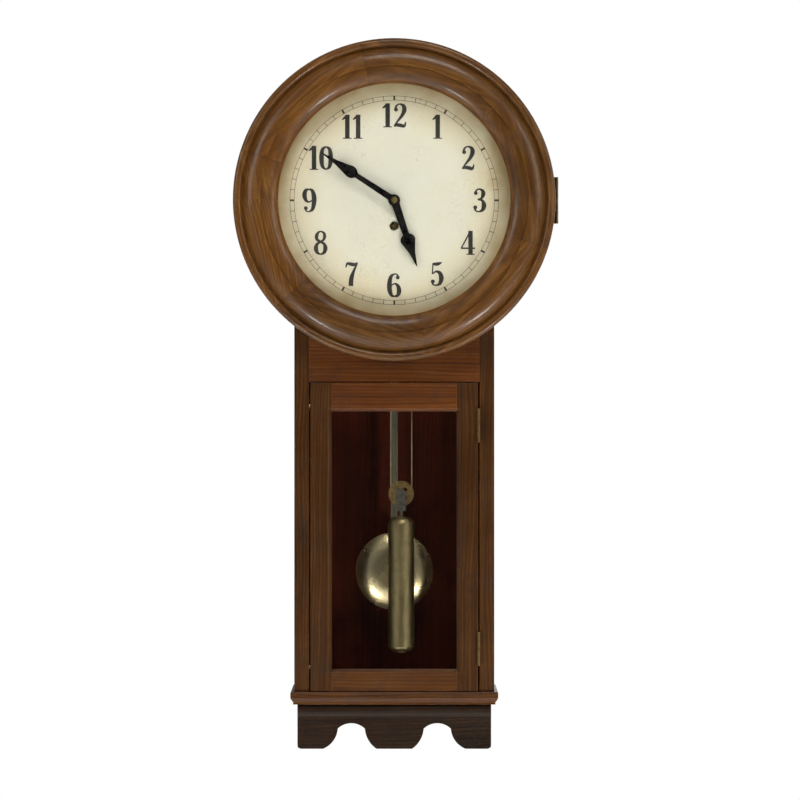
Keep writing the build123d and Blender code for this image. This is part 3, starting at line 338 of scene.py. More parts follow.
def backboard_wood(name):
    """Stained red inside the case and kept dark there as painted shade, brown on its edges with painted
    shade below the bottom board, and bare aged wood on the side to the wall.
    """
    paint = Paint(name)
    x, y, z = paint.place()
    wood_surface(paint, z, x, y, RAW_TONE, 0.0, 0.0)
    bare = paint.base_colour()
    normal = paint.node("TexCoord").outputs["Normal"]
    facing = paint.node("SeparateXYZ", {0: normal}).outputs[1]
    floor = middle("bottom_board").z
    above = paint.stretch(z, floor - 0.001, floor)
    inside = paint.work("MULTIPLY", paint.stretch(facing, -0.4, -0.6), above)
    red = paint.mix(1.0, bare, RED_STAIN_AND_SHADE, "MULTIPLY")
    # Below the bottom board the edge brown turns into painted shade.
    edge_brown_and_foot_shade = paint.mix(1.0, bare, paint.mix(above, FOOT_SHADE, EDGE_STAIN), "MULTIPLY")
    stained_and_shaded = paint.mix(inside, edge_brown_and_foot_shade, red)
    behind = paint.stretch(facing, 0.4, 0.6)
    return paint.set(Base_Color=paint.mix(behind, stained_and_shaded, bare)).material


DIAL_R = 0.155
# Ivory from the dial's middle, at 0, to its rim, at 1: tanned with age, and darker towards the rim as
# painted shade from the ring
DIAL_TONES_AND_RIM_SHADE = [
    (0.0, (0.45, 0.45, 0.385)),
    (0.60, (0.475, 0.46, 0.385)),
    (0.84, (0.46, 0.405, 0.285)),
    (1.0, (0.31, 0.23, 0.11)),
]
# What shows where the ivory is handled, cracked or foxed and where the black is thin, as (share, colour)
HANDLED, CRACKED = (0.35, (0.455, 0.42, 0.30)), (0.38, (0.24, 0.17, 0.09))
FOXED, THINNED = (0.55, (0.27, 0.16, 0.07)), (0.30, (0.10, 0.085, 0.055))
BLACK = (0.012, 0.011, 0.010)


def dial_paint():
    """Old ivory paint: tanned with age and darkened towards the rim as painted shade from the ring,
    greyer where it was handled, crazed and foxed.
    """
    paint = Paint("dial_ivory")
    x, _, z = paint.place(DIAL)
    point = paint.vector(x, 0.0, z)
    cloud = paint.noise(point, 13.0, 4.0, 0.6)
    patchy = paint.work("MULTIPLY", paint.work("SUBTRACT", cloud, 0.5), 0.06)
    uneven = paint.work("ADD", paint.length(point), patchy)
    colour = paint.ramp(paint.stretch(uneven, 0.0, DIAL_R), DIAL_TONES_AND_RIM_SHADE)
    handled = paint.stretch(paint.noise(point, 31.0, 5.0, 0.65), 0.50, 0.72)
    colour = paint.tinted(colour, handled, *HANDLED)
    cells = {"Vector": point, "Scale": 165.0}
    edges = paint.node("TexVoronoi", cells, feature="DISTANCE_TO_EDGE").outputs[0]
    crack_places = paint.stretch(paint.noise(point, 19.0, 2.0), 0.44, 0.60)
    cracks = paint.work("MULTIPLY", paint.stretch(edges, 0.030, 0.0), crack_places)
    colour = paint.tinted(colour, cracks, *CRACKED)
    spots = paint.node("TexVoronoi", {"Vector": point, "Scale": 75.0}, feature="F1").outputs[0]
    fox_places = paint.stretch(cloud, 0.50, 0.62)
    foxing = paint.work("MULTIPLY", paint.stretch(spots, 0.085, 0.03), fox_places)
    colour = paint.tinted(colour, foxing, *FOXED)
    normal = paint.bump(cracks, 0.00010, 0.7)
    normal = paint.bump(paint.noise(point, 95.0, 2.0), 0.00005, 0.35, normal)
    rough = paint.stretch(handled, 0.0, 1.0, 0.36, 0.55)
    return paint.set(Base_Color=colour, Roughness=rough, Normal=normal, Coat_Weight=0.15).material


def dial_black():
    """The black paint of the numerals, thinned to brown in places."""
    paint = Paint("dial_black")
    point = paint.point()
    thin = paint.stretch(paint.noise(point, 260.0, 4.0, 0.7), 0.56, 0.70)
    colour = paint.tinted(BLACK, thin, *THINNED)
    normal = paint.bump(paint.noise(point, 900.0, 2.0), 0.00004, 0.6)
    return paint.set(Base_Color=colour, Roughness=0.45, Normal=normal).material


# How fine brush lines are along and across, and how much finer grit is than the tarnish clouds
BRUSH_ALONG, BRUSH_ACROSS, GRIT_FINER = 40.0, 4000.0, 14


def metal(name, colour, worn, rough, scale=90.0, brush=None, brush_share=0.5):
    """A metal with tarnish clouds, and fine brush lines along one axis when brush names it."""
    paint = Paint(name)
    point = paint.point()
    cloud = paint.stretch(paint.noise(point, scale, 5.0, 0.62), 0.38, 0.70)
    if brush:
        factors = [BRUSH_ALONG if axis == brush else BRUSH_ACROSS for axis in "xyz"]
        height = paint.noise(paint.scaled(paint.place(), factors), 1.0, 2.0)
    else:
        height = paint.noise(point, scale * GRIT_FINER, 3.0)
    normal = paint.bump(height, 0.00005, brush_share)
    paint.set(Base_Color=paint.mix(cloud, colour, worn), Metallic=1.0, Normal=normal)
    return paint.set(Roughness=paint.stretch(cloud, 0.0, 1.0, *rough)).material


LATHE_LINE = 0.0011


def turned_brass(name, centre, colour, worn, rough):
    """Polished brass with the fine rings left by the lathe round a front-to-back axis."""
    paint = Paint(name)
    x, y, z = paint.place(centre)
    radius = paint.length(paint.vector(x, 0.0, z))
    cloud = paint.stretch(paint.noise(paint.vector(x, y, z), 34.0, 3.0, 0.5), 0.35, 0.75)
    line = paint.vector(paint.work("DIVIDE", radius, LATHE_LINE), 0.0, 0.0)
    normal = paint.bump(paint.noise(line, 1.0, 3.0, 0.7), 0.00003, 0.3)
    paint.set(Base_Color=paint.mix(cloud, colour, worn), Metallic=1.0, Normal=normal)
    return paint.set(Roughness=paint.stretch(cloud, 0.0, 1.0, *rough)).material


def window_glass(name, tint, wave):
    """Thin old glass, very slightly wavy, that lets lamps through."""
    paint = Paint(name)
    normal = paint.bump(paint.noise(paint.point(), 16.0, 1.0), wave, 0.5)
    paint.set(Base_Color=tint, Roughness=0.0, IOR=1.45, Specular_IOR_Level=0.35)
    paint.set(Transmission_Weight=1.0, Normal=normal)
    clear = paint.node("BsdfTransparent", {0: tint})
    shadow = paint.node("LightPath").outputs["Is Shadow Ray"]
    both = paint.node("MixShader", {0: shadow, 1: paint.shader.outputs[0], 2: clear.outputs[0]})
    paint.feed(paint.output.inputs[0], both.outputs[0])
    return paint.material


GUT_TONES = [(0.3, (0.10, 0.062, 0.028)), (0.7, (0.26, 0.17, 0.085))]


def gut(name):
    """Natural gut line, oily and unevenly brown."""
    paint = Paint(name)
    point = paint.point()
    colour = paint.ramp(paint.noise(point, 140.0, 3.0), GUT_TONES)
    normal = paint.bump(paint.noise(point, 2600.0, 2.0), 0.00006, 0.7)
    return paint.set(Base_Color=colour, Roughness=0.42, Normal=normal).material


# Metals, as (bright, tarnished) colours
BRASS = ((0.62, 0.43, 0.17), (0.34, 0.23, 0.10))
AGED_BRASS = ((0.22, 0.145, 0.060), (0.085, 0.055, 0.026))
BOB_BRASS = ((0.80, 0.66, 0.40), (0.52, 0.41, 0.22))
WEIGHT_BRASS = ((0.28, 0.220, 0.112), (0.16, 0.122, 0.058))
STEEL = ((0.18, 0.17, 0.155), (0.075, 0.065, 0.052))
BLUED = ((0.020, 0.022, 0.028), (0.050, 0.042, 0.036))
JAPANNED = ((0.018, 0.017, 0.016), (0.045, 0.030, 0.020))

# The last numbers are a wood's place in the plank, gloss and wear, or a metal's least and most
# roughness, the size of its tarnish clouds, its brushed axis and how much the brushing shows
MATERIALS = {
    "side_left": board("walnut_side_left", "z", TRUNK_TONE, 1.0),
    "side_right": board("walnut_side_right", "z", TRUNK_TONE, 2.3),
    "stile_left": board("walnut_stile_left", "z", TRUNK_TONE, 3.1),
    "stile_right": board("walnut_stile_right", "z", TRUNK_TONE, 4.7),
    "neck": board("walnut_neck", "x", RAIL_TONE, 5.2),
    "rail_top": board("walnut_rail_top", "x", RAIL_TONE, 6.4),
    "rail_bottom": board("walnut_rail_bottom", "x", SHADED_LOW_TONE, 7.7),
    "moulding": board("walnut_moulding", "x", SHADED_LOW_TONE, 8.1, 0.5, 0.8),
    "moulding_side": board("walnut_moulding_side", "y", SHADED_LOW_TONE, 9.4, 0.5, 0.8),
    "apron": board("walnut_apron", "x", SHADED_APRON_TONE, 10.6, 0.35, 0.7),
    "apron_side": board("walnut_apron_side", "y", SHADED_APRON_TONE, 11.2, 0.35, 0.7),
    "inside": board("walnut_inside", "x", SHADED_INSIDE_TONE, 12.8, 0.1, 0.0),
    "rod": board("rod_wood", "z", ROD_TONE, 13.5, 0.5, 0.2),
    "ring": segment_ring("walnut_ring", RING_TONE),
    "hoop": segment_ring("walnut_hoop", RING_TONE, 0.4, 0.3),
    "dial_board": segment_ring("walnut_dial_board", TRUNK_TONE, 0.35, 0.6),
    "shell": bent_wood("walnut_shell", TRUNK_TONE),
    "back": backboard_wood("backboard_wood"),
    "dial": dial_paint(),
    "black": dial_black(),
    "hands": metal("blued_hands", *BLUED, (0.26, 0.42), 160.0),
    "brass": metal("satin_brass", *BRASS, (0.26, 0.42), 70.0),
    "aged_brass": metal("aged_brass", *AGED_BRASS, (0.34, 0.55), 110.0),
    "plate": metal("plate_brass", *BRASS, (0.24, 0.38), 45.0, "z", 0.35),
    "bob": turned_brass("bob_brass", BOB, *BOB_BRASS, (0.23, 0.33)),
    "weight": metal("weight_brass", *WEIGHT_BRASS, (0.30, 0.46), 36.0, "z", 0.3),
    "steel": metal("plain_steel", *STEEL, (0.28, 0.45), 120.0),
    "iron": metal("japanned_iron", *JAPANNED, (0.40, 0.60), 80.0),
    "dial_glass": window_glass("dial_glass", (0.985, 0.995, 0.985), 0.0004),
    "door_glass": window_glass("door_glass", (0.93, 0.95, 0.93), 0.0010),
    "gut": gut("gut_line"),
}

# Which material each CAD node wears. Those not named here are steel or brass.
FINISHES = {
    "backboard": "back",
    "trunk_side_left": "side_left",
    "trunk_side_right": "side_right",
    "bottom_board": "inside",
    "neck_rail": "neck",
    "head_shell": "shell",
    "dial_board": "dial_board",
    "dial": "dial",
    "base_moulding_front": "moulding",
    "base_moulding_left": "moulding_side",
    "base_moulding_right": "moulding_side",
    "apron_front": "apron",
    "apron_left": "apron_side",
    "apron_right": "apron_side",
    "head_ring": "ring",
    "glass_retainer": "hoop",
    "door_stile_left": "stile_left",
    "door_stile_right": "stile_right",
    "door_rail_top": "rail_top",
    "door_rail_bottom": "rail_bottom",
    "pendulum_rod": "rod",
    "head_glass": "dial_glass",
    "door_glass": "door_glass",
    "minute_hand": "hands",
    "hour_hand": "hands",
    "bob": "bob",
    "weight": "weight",
    "back_plate": "plate",
    "front_plate": "plate",
    "movement_bracket_left": "iron",
    "movement_bracket_right": "iron",
    "cable_runs": "gut",
    "cable_loop": "gut",
    "head_hinge_leaf": "aged_brass",
    "hinge_leaves_case": "aged_brass",
    "pulley": "aged_brass",
    "trunk_hinge_leaves": "aged_brass",
    "door_bead": "inside",
}
STEEL_NODES = (
    "hanger_plate",
    "hanger_screws",
    "cable_stud",
    "click",
    "pallets",
    "crutch",
    "suspension_spring",
    "stirrup",
)


def dress(obj, material):
    """Gives an object one material."""
    obj.data.materials.clear()
    obj.data.materials.append(material)


SHARP_FROM = math.radians(32)
WELD_DISTANCE, BEVEL_FROM, FLAT_WEIGHT = 1e-6, math.radians(40), 100


def smooth(obj, angle=SHARP_FROM):
    """Shades a mesh smooth, apart from edges sharper than angle."""
    for face in obj.data.polygons:
        face.use_smooth = True
    obj.data.set_sharp_from_angle(angle=angle)


def soften(obj, width, segments=2):
    """Rounds a CAD node's edges a little with modifiers, which leave its mesh as it is."""
    weld = obj.modifiers.new("weld", "WELD")
    weld.merge_threshold = WELD_DISTANCE
    bevel = obj.modifiers.new("rounded_edges", "BEVEL")
    bevel.width, bevel.segments = width, segments
    bevel.limit_method, bevel.angle_limit = "ANGLE", BEVEL_FROM
    flats = obj.modifiers.new("flat_faces", "WEIGHTED_NORMAL")
    flats.mode, flats.weight, flats.keep_sharp = "FACE_AREA", FLAT_WEIGHT, False


for node, obj in NODES.items():
    finish = FINISHES.get(node, "steel" if node in STEEL_NODES else "brass")
    dress(obj, MATERIALS[finish])


# ---------------------------------------------------------------- pieces that the CAD doesn't have


def new_piece(name, mesh, material, body):
    """A piece that rides on a body and wears one of the materials."""
    piece = bpy.data.objects.new(name, mesh)
    bpy.context.scene.collection.objects.link(piece)
    dress(piece, MATERIALS[material])
    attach(piece, body)
    return piece


def mesh_from(name, build):
    """A mesh that build draws into a bmesh."""
    shape = bmesh.new()
    build(shape)
    bmesh.ops.recalc_face_normals(shape, faces=shape.faces)
    mesh = bpy.data.meshes.new(name)
    shape.to_mesh(mesh)
    shape.free()
    return mesh


def slab(shape, outline, front_y, back_y):
    """A flat outline of (x, z) points made into a thin solid between two depths."""
    front = [shape.verts.new((x, front_y, z)) for x, z in outline]
    back = [shape.verts.new((x, back_y, z)) for x, z in outline]
    shape.faces.new(front)
    shape.faces.new(list(reversed(back)))
    count = len(outline)
    for number in range(count):
        after = (number + 1) % count
        shape.faces.new((front[number], back[number], back[after], front[after]))


def band(shape, inner, outer, front_y, back_y, closed):
    """A solid strip between two matching rows of (x, z) points, for rings and brush strokes."""
    rows = [(row, y) for y in (front_y, back_y) for row in (inner, outer)]
    front_in, front_out, back_in, back_out = (
        [shape.verts.new((x, y, z)) for x, z in row] for row, y in rows
    )
    round_way = (front_in, front_out, back_out, back_in, front_in)
    count = len(inner)
    for number in range(count if closed else count - 1):
        after = (number + 1) % count
        for near, far in zip(round_way, round_way[1:]):
            shape.faces.new((near[number], near[after], far[after], far[number]))
    if not closed:
        for end in (0, count - 1):
            shape.faces.new((front_in[end], front_out[end], back_out[end], back_in[end]))


CURVE_STEPS = 9


def through(points):
    """A smooth curve through points of any dimension, as Catmull and Rom's spline."""
    points = [Vector(point) for point in points]
    ends = [2 * points[0] - points[1], *points, 2 * points[-1] - points[-2]]
    made = []
    for before, start, end, after in zip(ends, ends[1:], ends[2:], ends[3:]):
        for step in range(CURVE_STEPS):
            t = step / CURVE_STEPS
            twice = 2 * start + (end - before) * t
            twice += (2 * before - 5 * start + 4 * end - after) * t**2
            twice += (3 * start - 3 * end + after - before) * t**3
            made.append(0.5 * twice)
    return made + [points[-1]]


# Numerals as brush strokes, in units of the numeral's height: each digit's width, its strokes as
# rows of (x, height, half width), and its blots as (x, height, radius)
SIX_STROKES = [
    [(0.47, 0.83, 0.045), (0.42, 0.945, 0.032), (0.31, 0.968, 0.030), (0.17, 0.87, 0.070),
     (0.105, 0.62, 0.095), (0.105, 0.33, 0.100), (0.18, 0.10, 0.070), (0.31, 0.032, 0.032)],
    [(0.31, 0.032, 0.032), (0.45, 0.10, 0.075), (0.50, 0.29, 0.095), (0.44, 0.49, 0.070),
     (0.32, 0.565, 0.036), (0.19, 0.50, 0.030), (0.12, 0.38, 0.030)],
]
SIX_BLOTS = [(0.445, 0.825, 0.080)]
DIGITS = {
    "0": (0.58, [[
        (0.29, 0.968, 0.032), (0.14, 0.84, 0.075), (0.10, 0.50, 0.098), (0.14, 0.16, 0.075),
        (0.29, 0.032, 0.032), (0.44, 0.16, 0.075), (0.48, 0.50, 0.098), (0.44, 0.84, 0.075),
        (0.29, 0.968, 0.032)]], []),
    "1": (0.40, [
        [(0.24, 0.0, 0.095), (0.24, 0.5, 0.095), (0.24, 1.0, 0.095)],
        [(0.20, 0.97, 0.030), (0.11, 0.86, 0.045), (0.02, 0.80, 0.020)],
        [(0.06, 0.022, 0.022), (0.24, 0.022, 0.022), (0.42, 0.022, 0.022)]], []),
    "2": (0.58, [
        [(0.11, 0.74, 0.050), (0.15, 0.89, 0.040), (0.29, 0.968, 0.032), (0.45, 0.89, 0.075),
         (0.48, 0.72, 0.095), (0.39, 0.50, 0.070), (0.20, 0.25, 0.042), (0.06, 0.05, 0.032)],
        [(0.05, 0.05, 0.032), (0.18, 0.10, 0.070), (0.34, 0.08, 0.078), (0.48, 0.06, 0.058),
         (0.545, 0.23, 0.022)]],
        [(0.135, 0.74, 0.085)]),
    "3": (0.58, [
        [(0.12, 0.80, 0.045), (0.17, 0.91, 0.036), (0.29, 0.968, 0.032), (0.43, 0.89, 0.070),
         (0.455, 0.75, 0.088), (0.38, 0.59, 0.050), (0.22, 0.535, 0.028)],
        [(0.22, 0.535, 0.028), (0.41, 0.49, 0.055), (0.485, 0.29, 0.100), (0.42, 0.10, 0.070),
         (0.27, 0.032, 0.032), (0.14, 0.075, 0.036), (0.095, 0.20, 0.045)]],
        [(0.145, 0.80, 0.078), (0.125, 0.205, 0.085)]),
    "4": (0.62, [
        [(0.42, 0.0, 0.092), (0.42, 0.5, 0.092), (0.42, 1.0, 0.092)],
        [(0.40, 0.96, 0.036), (0.22, 0.62, 0.032), (0.035, 0.28, 0.030)],
        [(0.02, 0.275, 0.034), (0.30, 0.275, 0.034), (0.61, 0.275, 0.034)],
        [(0.25, 0.022, 0.022), (0.42, 0.022, 0.022), (0.59, 0.022, 0.022)]], []),
    "5": (0.58, [
        [(0.12, 0.93, 0.036), (0.22, 0.91, 0.066), (0.35, 0.92, 0.070), (0.50, 0.98, 0.020)],
        [(0.135, 0.96, 0.026), (0.12, 0.73, 0.026), (0.105, 0.50, 0.026)],
        [(0.105, 0.50, 0.026), (0.26, 0.60, 0.042), (0.42, 0.53, 0.080), (0.48, 0.32, 0.100),
         (0.41, 0.10, 0.070), (0.26, 0.032, 0.032), (0.14, 0.065, 0.036), (0.095, 0.18, 0.042)]],
        [(0.125, 0.185, 0.085)]),
    "6": (0.60, SIX_STROKES, SIX_BLOTS),
    "7": (0.58, [
        [(0.04, 0.76, 0.020), (0.10, 0.93, 0.045), (0.24, 0.91, 0.072), (0.40, 0.89, 0.070),
         (0.53, 0.97, 0.024)],
        [(0.53, 0.96, 0.024), (0.39, 0.66, 0.052), (0.28, 0.34, 0.090), (0.25, 0.0, 0.098)]], []),
    "8": (0.58, [
        [(0.29, 0.545, 0.045), (0.14, 0.64, 0.062), (0.125, 0.80, 0.075), (0.20, 0.935, 0.045),
         (0.30, 0.968, 0.032), (0.42, 0.91, 0.052), (0.455, 0.77, 0.066), (0.41, 0.63, 0.050),
         (0.29, 0.545, 0.045)],
        [(0.29, 0.545, 0.045), (0.14, 0.44, 0.062), (0.095, 0.27, 0.092), (0.15, 0.10, 0.066),
         (0.29, 0.032, 0.034), (0.43, 0.10, 0.066), (0.485, 0.27, 0.092), (0.44, 0.44, 0.062),
         (0.29, 0.545, 0.045)]], []),
    "9": (0.60,
        [[(0.60 - x, 1.0 - height, half) for x, height, half in stroke] for stroke in SIX_STROKES],
        [(0.60 - x, 1.0 - height, radius) for x, height, radius in SIX_BLOTS]),
}
NUMERAL_HEIGHT, NUMERAL_CIRCLE = 0.0310, 0.1095
DIGIT_SPACE, BLOT_STEPS = 0.05, 28
# How far the paint stands out of the dial and how far it sinks in
PAINT_T, PAINT_SINK = 0.00012, 0.00002


def neighbours_way(line, number):
    """From the point before one of a line's points to the point after it."""
    return line[min(number + 1, len(line) - 1)] - line[max(number - 1, 0)]


def draw_stroke(shape, stroke, corner, size, front_y):
    """One brush stroke as a thin strip of paint, as wide at each point as the stroke says."""
    line = through(stroke)
    left, right = [], []
    for number, point in enumerate(line):
        way = neighbours_way(line, number).to_2d().normalized()
        side = Vector((-way.y, way.x)) * point.z
        for row, sign in ((left, 1), (right, -1)):
            x, z = point.x + sign * side.x, point.y + sign * side.y
            row.append((corner[0] + size * x, corner[1] + size * z))
    band(shape, left, right, front_y, DIAL_FACE_Y + PAINT_SINK, closed=False)


def circle_points(centre, radius, count):
    """Evenly spaced points round a circle."""
    across, up = centre
    turns = [math.tau * number / count for number in range(count)]
    return [(across + radius * math.cos(turn), up + radius * math.sin(turn)) for turn in turns]


def numeral(shape, text, x, z):
    """An upright number centred on (x, z), each stroke a hair in front of the last so none fight."""
    width = sum(DIGITS[digit][0] for digit in text) + DIGIT_SPACE * (len(text) - 1)
    left = x - NUMERAL_HEIGHT * width / 2
    front_y = DIAL_FACE_Y - PAINT_T
    for digit in text:
        wide, strokes, blots = DIGITS[digit]
        corner = (left, z - NUMERAL_HEIGHT / 2)
        for stroke in strokes:
            draw_stroke(shape, stroke, corner, NUMERAL_HEIGHT, front_y)
            front_y -= PAINT_SINK / 2
        for blot_x, height, radius in blots:
            centre = (corner[0] + NUMERAL_HEIGHT * blot_x, corner[1] + NUMERAL_HEIGHT * height)
            outline = circle_points(centre, NUMERAL_HEIGHT * radius, BLOT_STEPS)
            slab(shape, outline, front_y, DIAL_FACE_Y + PAINT_SINK)
            front_y -= PAINT_SINK / 2
        left += NUMERAL_HEIGHT * (wide + DIGIT_SPACE)


def add_numerals():
    """The hours from 1 to 12, each upright."""
    for hour in range(1, 13):
        turn = math.tau * hour / 12
        x = DIAL.x + NUMERAL_CIRCLE * math.sin(turn)
        z = DIAL.z + NUMERAL_CIRCLE * math.cos(turn)
        mesh = mesh_from(f"numeral_{hour}", lambda shape: numeral(shape, str(hour), x, z))
        new_piece(f"numeral_{hour}", mesh, "black", "case")


TRACK_IN, TRACK_OUT, TRACK_LINE, TRACK_STEPS = 0.1290, 0.1345, 0.0005, 240
MINUTE_MARK, HOUR_MARK = 0.0007, 0.0024


def add_minute_track():
    """Two fine rings with a mark between them for each minute, and a broad one at each hour."""
    centre = (DIAL.x, DIAL.z)

    def draw(shape):
        for radius in (TRACK_IN, TRACK_OUT):
            inner = circle_points(centre, radius - TRACK_LINE / 2, TRACK_STEPS)
            outer = circle_points(centre, radius + TRACK_LINE / 2, TRACK_STEPS)
            band(shape, inner, outer, DIAL_FACE_Y - PAINT_T, DIAL_FACE_Y + PAINT_SINK, closed=True)
        for minute in range(60):
            half = (HOUR_MARK if minute % 5 == 0 else MINUTE_MARK) / 2
            turn = math.tau * minute / 60
            out = Vector((math.sin(turn), math.cos(turn)))
            along = Vector((math.cos(turn), -math.sin(turn)))
            corners = [(TRACK_IN, -half), (TRACK_OUT, -half), (TRACK_OUT, half), (TRACK_IN, half)]
            outline = [Vector(centre) + radius * out + side * along for radius, side in corners]
            slab(shape, outline, DIAL_FACE_Y - PAINT_T - PAINT_SINK, DIAL_FACE_Y + PAINT_SINK)

    new_piece("minute_track", mesh_from("minute_track", draw), "black", "case")


# A screw head's dome, as the lean of each of its rows of corners, and its slot, as shares of its
# size. SLOT_TURN is how far each screw is turned on from the last.
SCREW_STEPS, SCREW_DOME = 14, (0.0, 0.35, 0.75, 1.15)
SLOT_HALF_W, SLOT_DEEP, SLOT_TURN = 0.13, 0.75, 1.3


def slotted_head(shape, radius, out):
    """A domed, slotted screw head that looks to the front, its seat's middle at the origin."""
    half_slot, floor_y = SLOT_HALF_W * radius, (SLOT_DEEP - 1) * out
    start = math.asin(half_slot / radius)
    sweep = math.pi - 2 * start
    angles = [start + sweep * number / SCREW_STEPS for number in range(SCREW_STEPS + 1)]
    for sign in (1, -1):
        rows = []
        for lean in SCREW_DOME:
            reach, rise = radius * math.cos(lean), -out * math.sin(lean)
            row = []
            for angle in angles:
                x, z = reach * math.cos(angle), max(reach * math.sin(angle), half_slot)
                row.append(shape.verts.new((sign * x, rise, sign * z)))
            rows.append(row)
        for first, second in zip(rows, rows[1:]):
            for number in range(SCREW_STEPS):
                after = number + 1
                shape.faces.new((first[number], first[after], second[after], second[number]))
        shape.faces.new(rows[-1])
        ends = (rows[0][0], rows[0][-1])
        low = [shape.verts.new((corner.co.x, floor_y, corner.co.z)) for corner in ends]
        slot_wall = [row[-1] for row in rows] + [row[0] for row in reversed(rows)] + low
        shape.faces.new(slot_wall)
    floor = [(-radius, -half_slot), (radius, -half_slot), (radius, half_slot), (-radius, half_slot)]
    shape.faces.new([shape.verts.new((x, floor_y, z)) for x, z in floor])


# Which way a screw looks, as a turn about +Z from the front
FRONT, LEFT, BACK, RIGHT = 0.0, -math.pi / 2, math.pi, math.pi / 2


def add_screw(name, place, facing, number, size, finish, body):
    """A screw head seated on a surface. size is its radius and how far it stands out."""
    mesh = mesh_from(name, lambda shape: slotted_head(shape, *size))
    turned = Matrix.Rotation(facing, 4, "Z") @ Matrix.Rotation(SLOT_TURN * number, 4, "Y")
    mesh.transform(Matrix.Translation(place) @ turned)
    smooth(new_piece(name, mesh, finish, body))


# Screws' sizes, and where they sit in their hinge leaves
HEAD_SCREW, TRUNK_SCREW, HANGER_SCREW = (0.0022, 0.00009), (0.0021, 0.00025), (0.0019, 0.00035)
HEAD_LEAF_GAP, HEAD_SCREW_IN, HEAD_SCREW_ROWS = 0.0002, 0.0070, (-0.023, 0.0, 0.023)
TRUNK_LEAF_GAP, TRUNK_SCREW_BACK, TRUNK_SCREW_ROWS = 0.0006, 0.0100, (-0.016, 0.0, 0.016)
TRUNK_LEAF_LENGTH = 0.044


def add_head_hinge_screws():
    """Three countersunk screws in each leaf of the head door's hinge."""
    low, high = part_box("head_hinge_leaf")
    pin = (low + high) / 2
    for number, row in enumerate(HEAD_SCREW_ROWS):
        for body, facing, side in (("case", FRONT, 1), ("head_door", BACK, -1)):
            place = (low.x + HEAD_SCREW_IN, pin.y + side * HEAD_LEAF_GAP / 2, pin.z + row)
            name = f"{body}_hinge_screw_{number}"
            add_screw(name, place, facing, number, HEAD_SCREW, "aged_brass", body)


def add_trunk_hinge_screws():
    """Three countersunk screws in each leaf of the trunk door's two hinges."""
    low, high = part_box("trunk_hinge_leaves")
    pin = (low + high) / 2
    hinges = (("upper", high.z - TRUNK_LEAF_LENGTH / 2), ("lower", low.z + TRUNK_LEAF_LENGTH / 2))
    leaves = (("side", "case", LEFT, 1), ("door", "trunk_door", RIGHT, -1))
    for hinge, z in hinges:
        for number, row in enumerate(TRUNK_SCREW_ROWS):
            for leaf, body, facing, side in leaves:
                place = (pin.x + side * TRUNK_LEAF_GAP / 2, pin.y + TRUNK_SCREW_BACK, z + row)
                name = f"{hinge}_{leaf}_leaf_screw_{number}"
                add_screw(name, place, facing, number, TRUNK_SCREW, "aged_brass", body)


def add_hanger_screws():
    """The slotted heads of the hanger plate's two screws."""
    low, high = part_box("hanger_screws")
    radius = (high.z - low.z) / 2
    for number, x in enumerate((low.x + radius, high.x - radius)):
        place, name = (x, high.y, (low.z + high.z) / 2), f"hanger_screw_head_{number}"
        add_screw(name, place, BACK, number, HANGER_SCREW, "steel", "case")


# The cord's strands go once round each other in every LAY of its length
CORD_R, STRANDS, STRAND_SIDES, LAY, CORD_STEP = 0.0008, 3, 6, 0.0042, 0.0007
STRAND_R, STRAND_OFF = 0.54 * CORD_R, 0.46 * CORD_R


def twisted_cord(shape, line):
    """Three strands laid round each other along a line of points that lies in one upright plane."""
    forward_way = Vector((0, -1, 0))
    lengths = [0.0]
    for before, after in zip(line, line[1:]):
        lengths.append(lengths[-1] + (after - before).length)
    for strand in range(STRANDS):
        rings = []
        for number, point in enumerate(line):
            side = neighbours_way(line, number).normalized().cross(forward_way).normalized()
            turn = math.tau * (lengths[number] / LAY + strand / STRANDS)
            centre = point + STRAND_OFF * (math.cos(turn) * side + math.sin(turn) * forward_way)
            ring = []
            for corner in range(STRAND_SIDES):
                angle = math.tau * corner / STRAND_SIDES
                out = math.cos(angle) * side + math.sin(angle) * forward_way
                ring.append(shape.verts.new(centre + STRAND_R * out))
            rings.append(ring)
        for first, second in zip(rings, rings[1:]):
            for corner in range(STRAND_SIDES):
                after = (corner + 1) % STRAND_SIDES
                shape.faces.new((first[corner], first[after], second[after], second[corner]))
        for ring in (rings[0], rings[-1]):
            shape.faces.new(ring)


def straight(start, end):
    """Evenly spaced points from one place to another."""
    count = max(2, round((end - start).length / CORD_STEP))
    return [start.lerp(end, number / count) for number in range(count + 1)]


WOUND_TURNS, WOUND_STEPS, WOUND_PITCH = 2.66, 60, 2.1 * CORD_R
LOOP_STEPS = 64


def cord_lines():
    """The cord's depth, and the x of its run to the stud and of its run to the drum."""
    low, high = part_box("cable_runs")
    return (low.y + high.y) / 2, low.x + CORD_R, high.x - CORD_R


def arc(centre, radius, y, start, end, steps):
    """Points on an upright arc about a front-to-back axis, without its first one."""
    points = []
    for number in range(1, steps + 1):
        turn = start + (end - start) * number / steps
        x, z = centre.x + radius * math.cos(turn), centre.z + radius * math.sin(turn)
        points.append(Vector((x, y, z)))
    return points


def add_cord_run(side, line):
    """One upright run of the cord, in place of the CAD node's runs."""
    name = f"cord_run_{side}"
    piece = bpy.data.objects.new(name, mesh_from(name, lambda shape: twisted_cord(shape, line)))
    bpy.context.scene.collection.objects.link(piece)
    dress(piece, MATERIALS["gut"])
    smooth(piece, math.pi)
    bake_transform(piece)
    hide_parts("cable_runs")


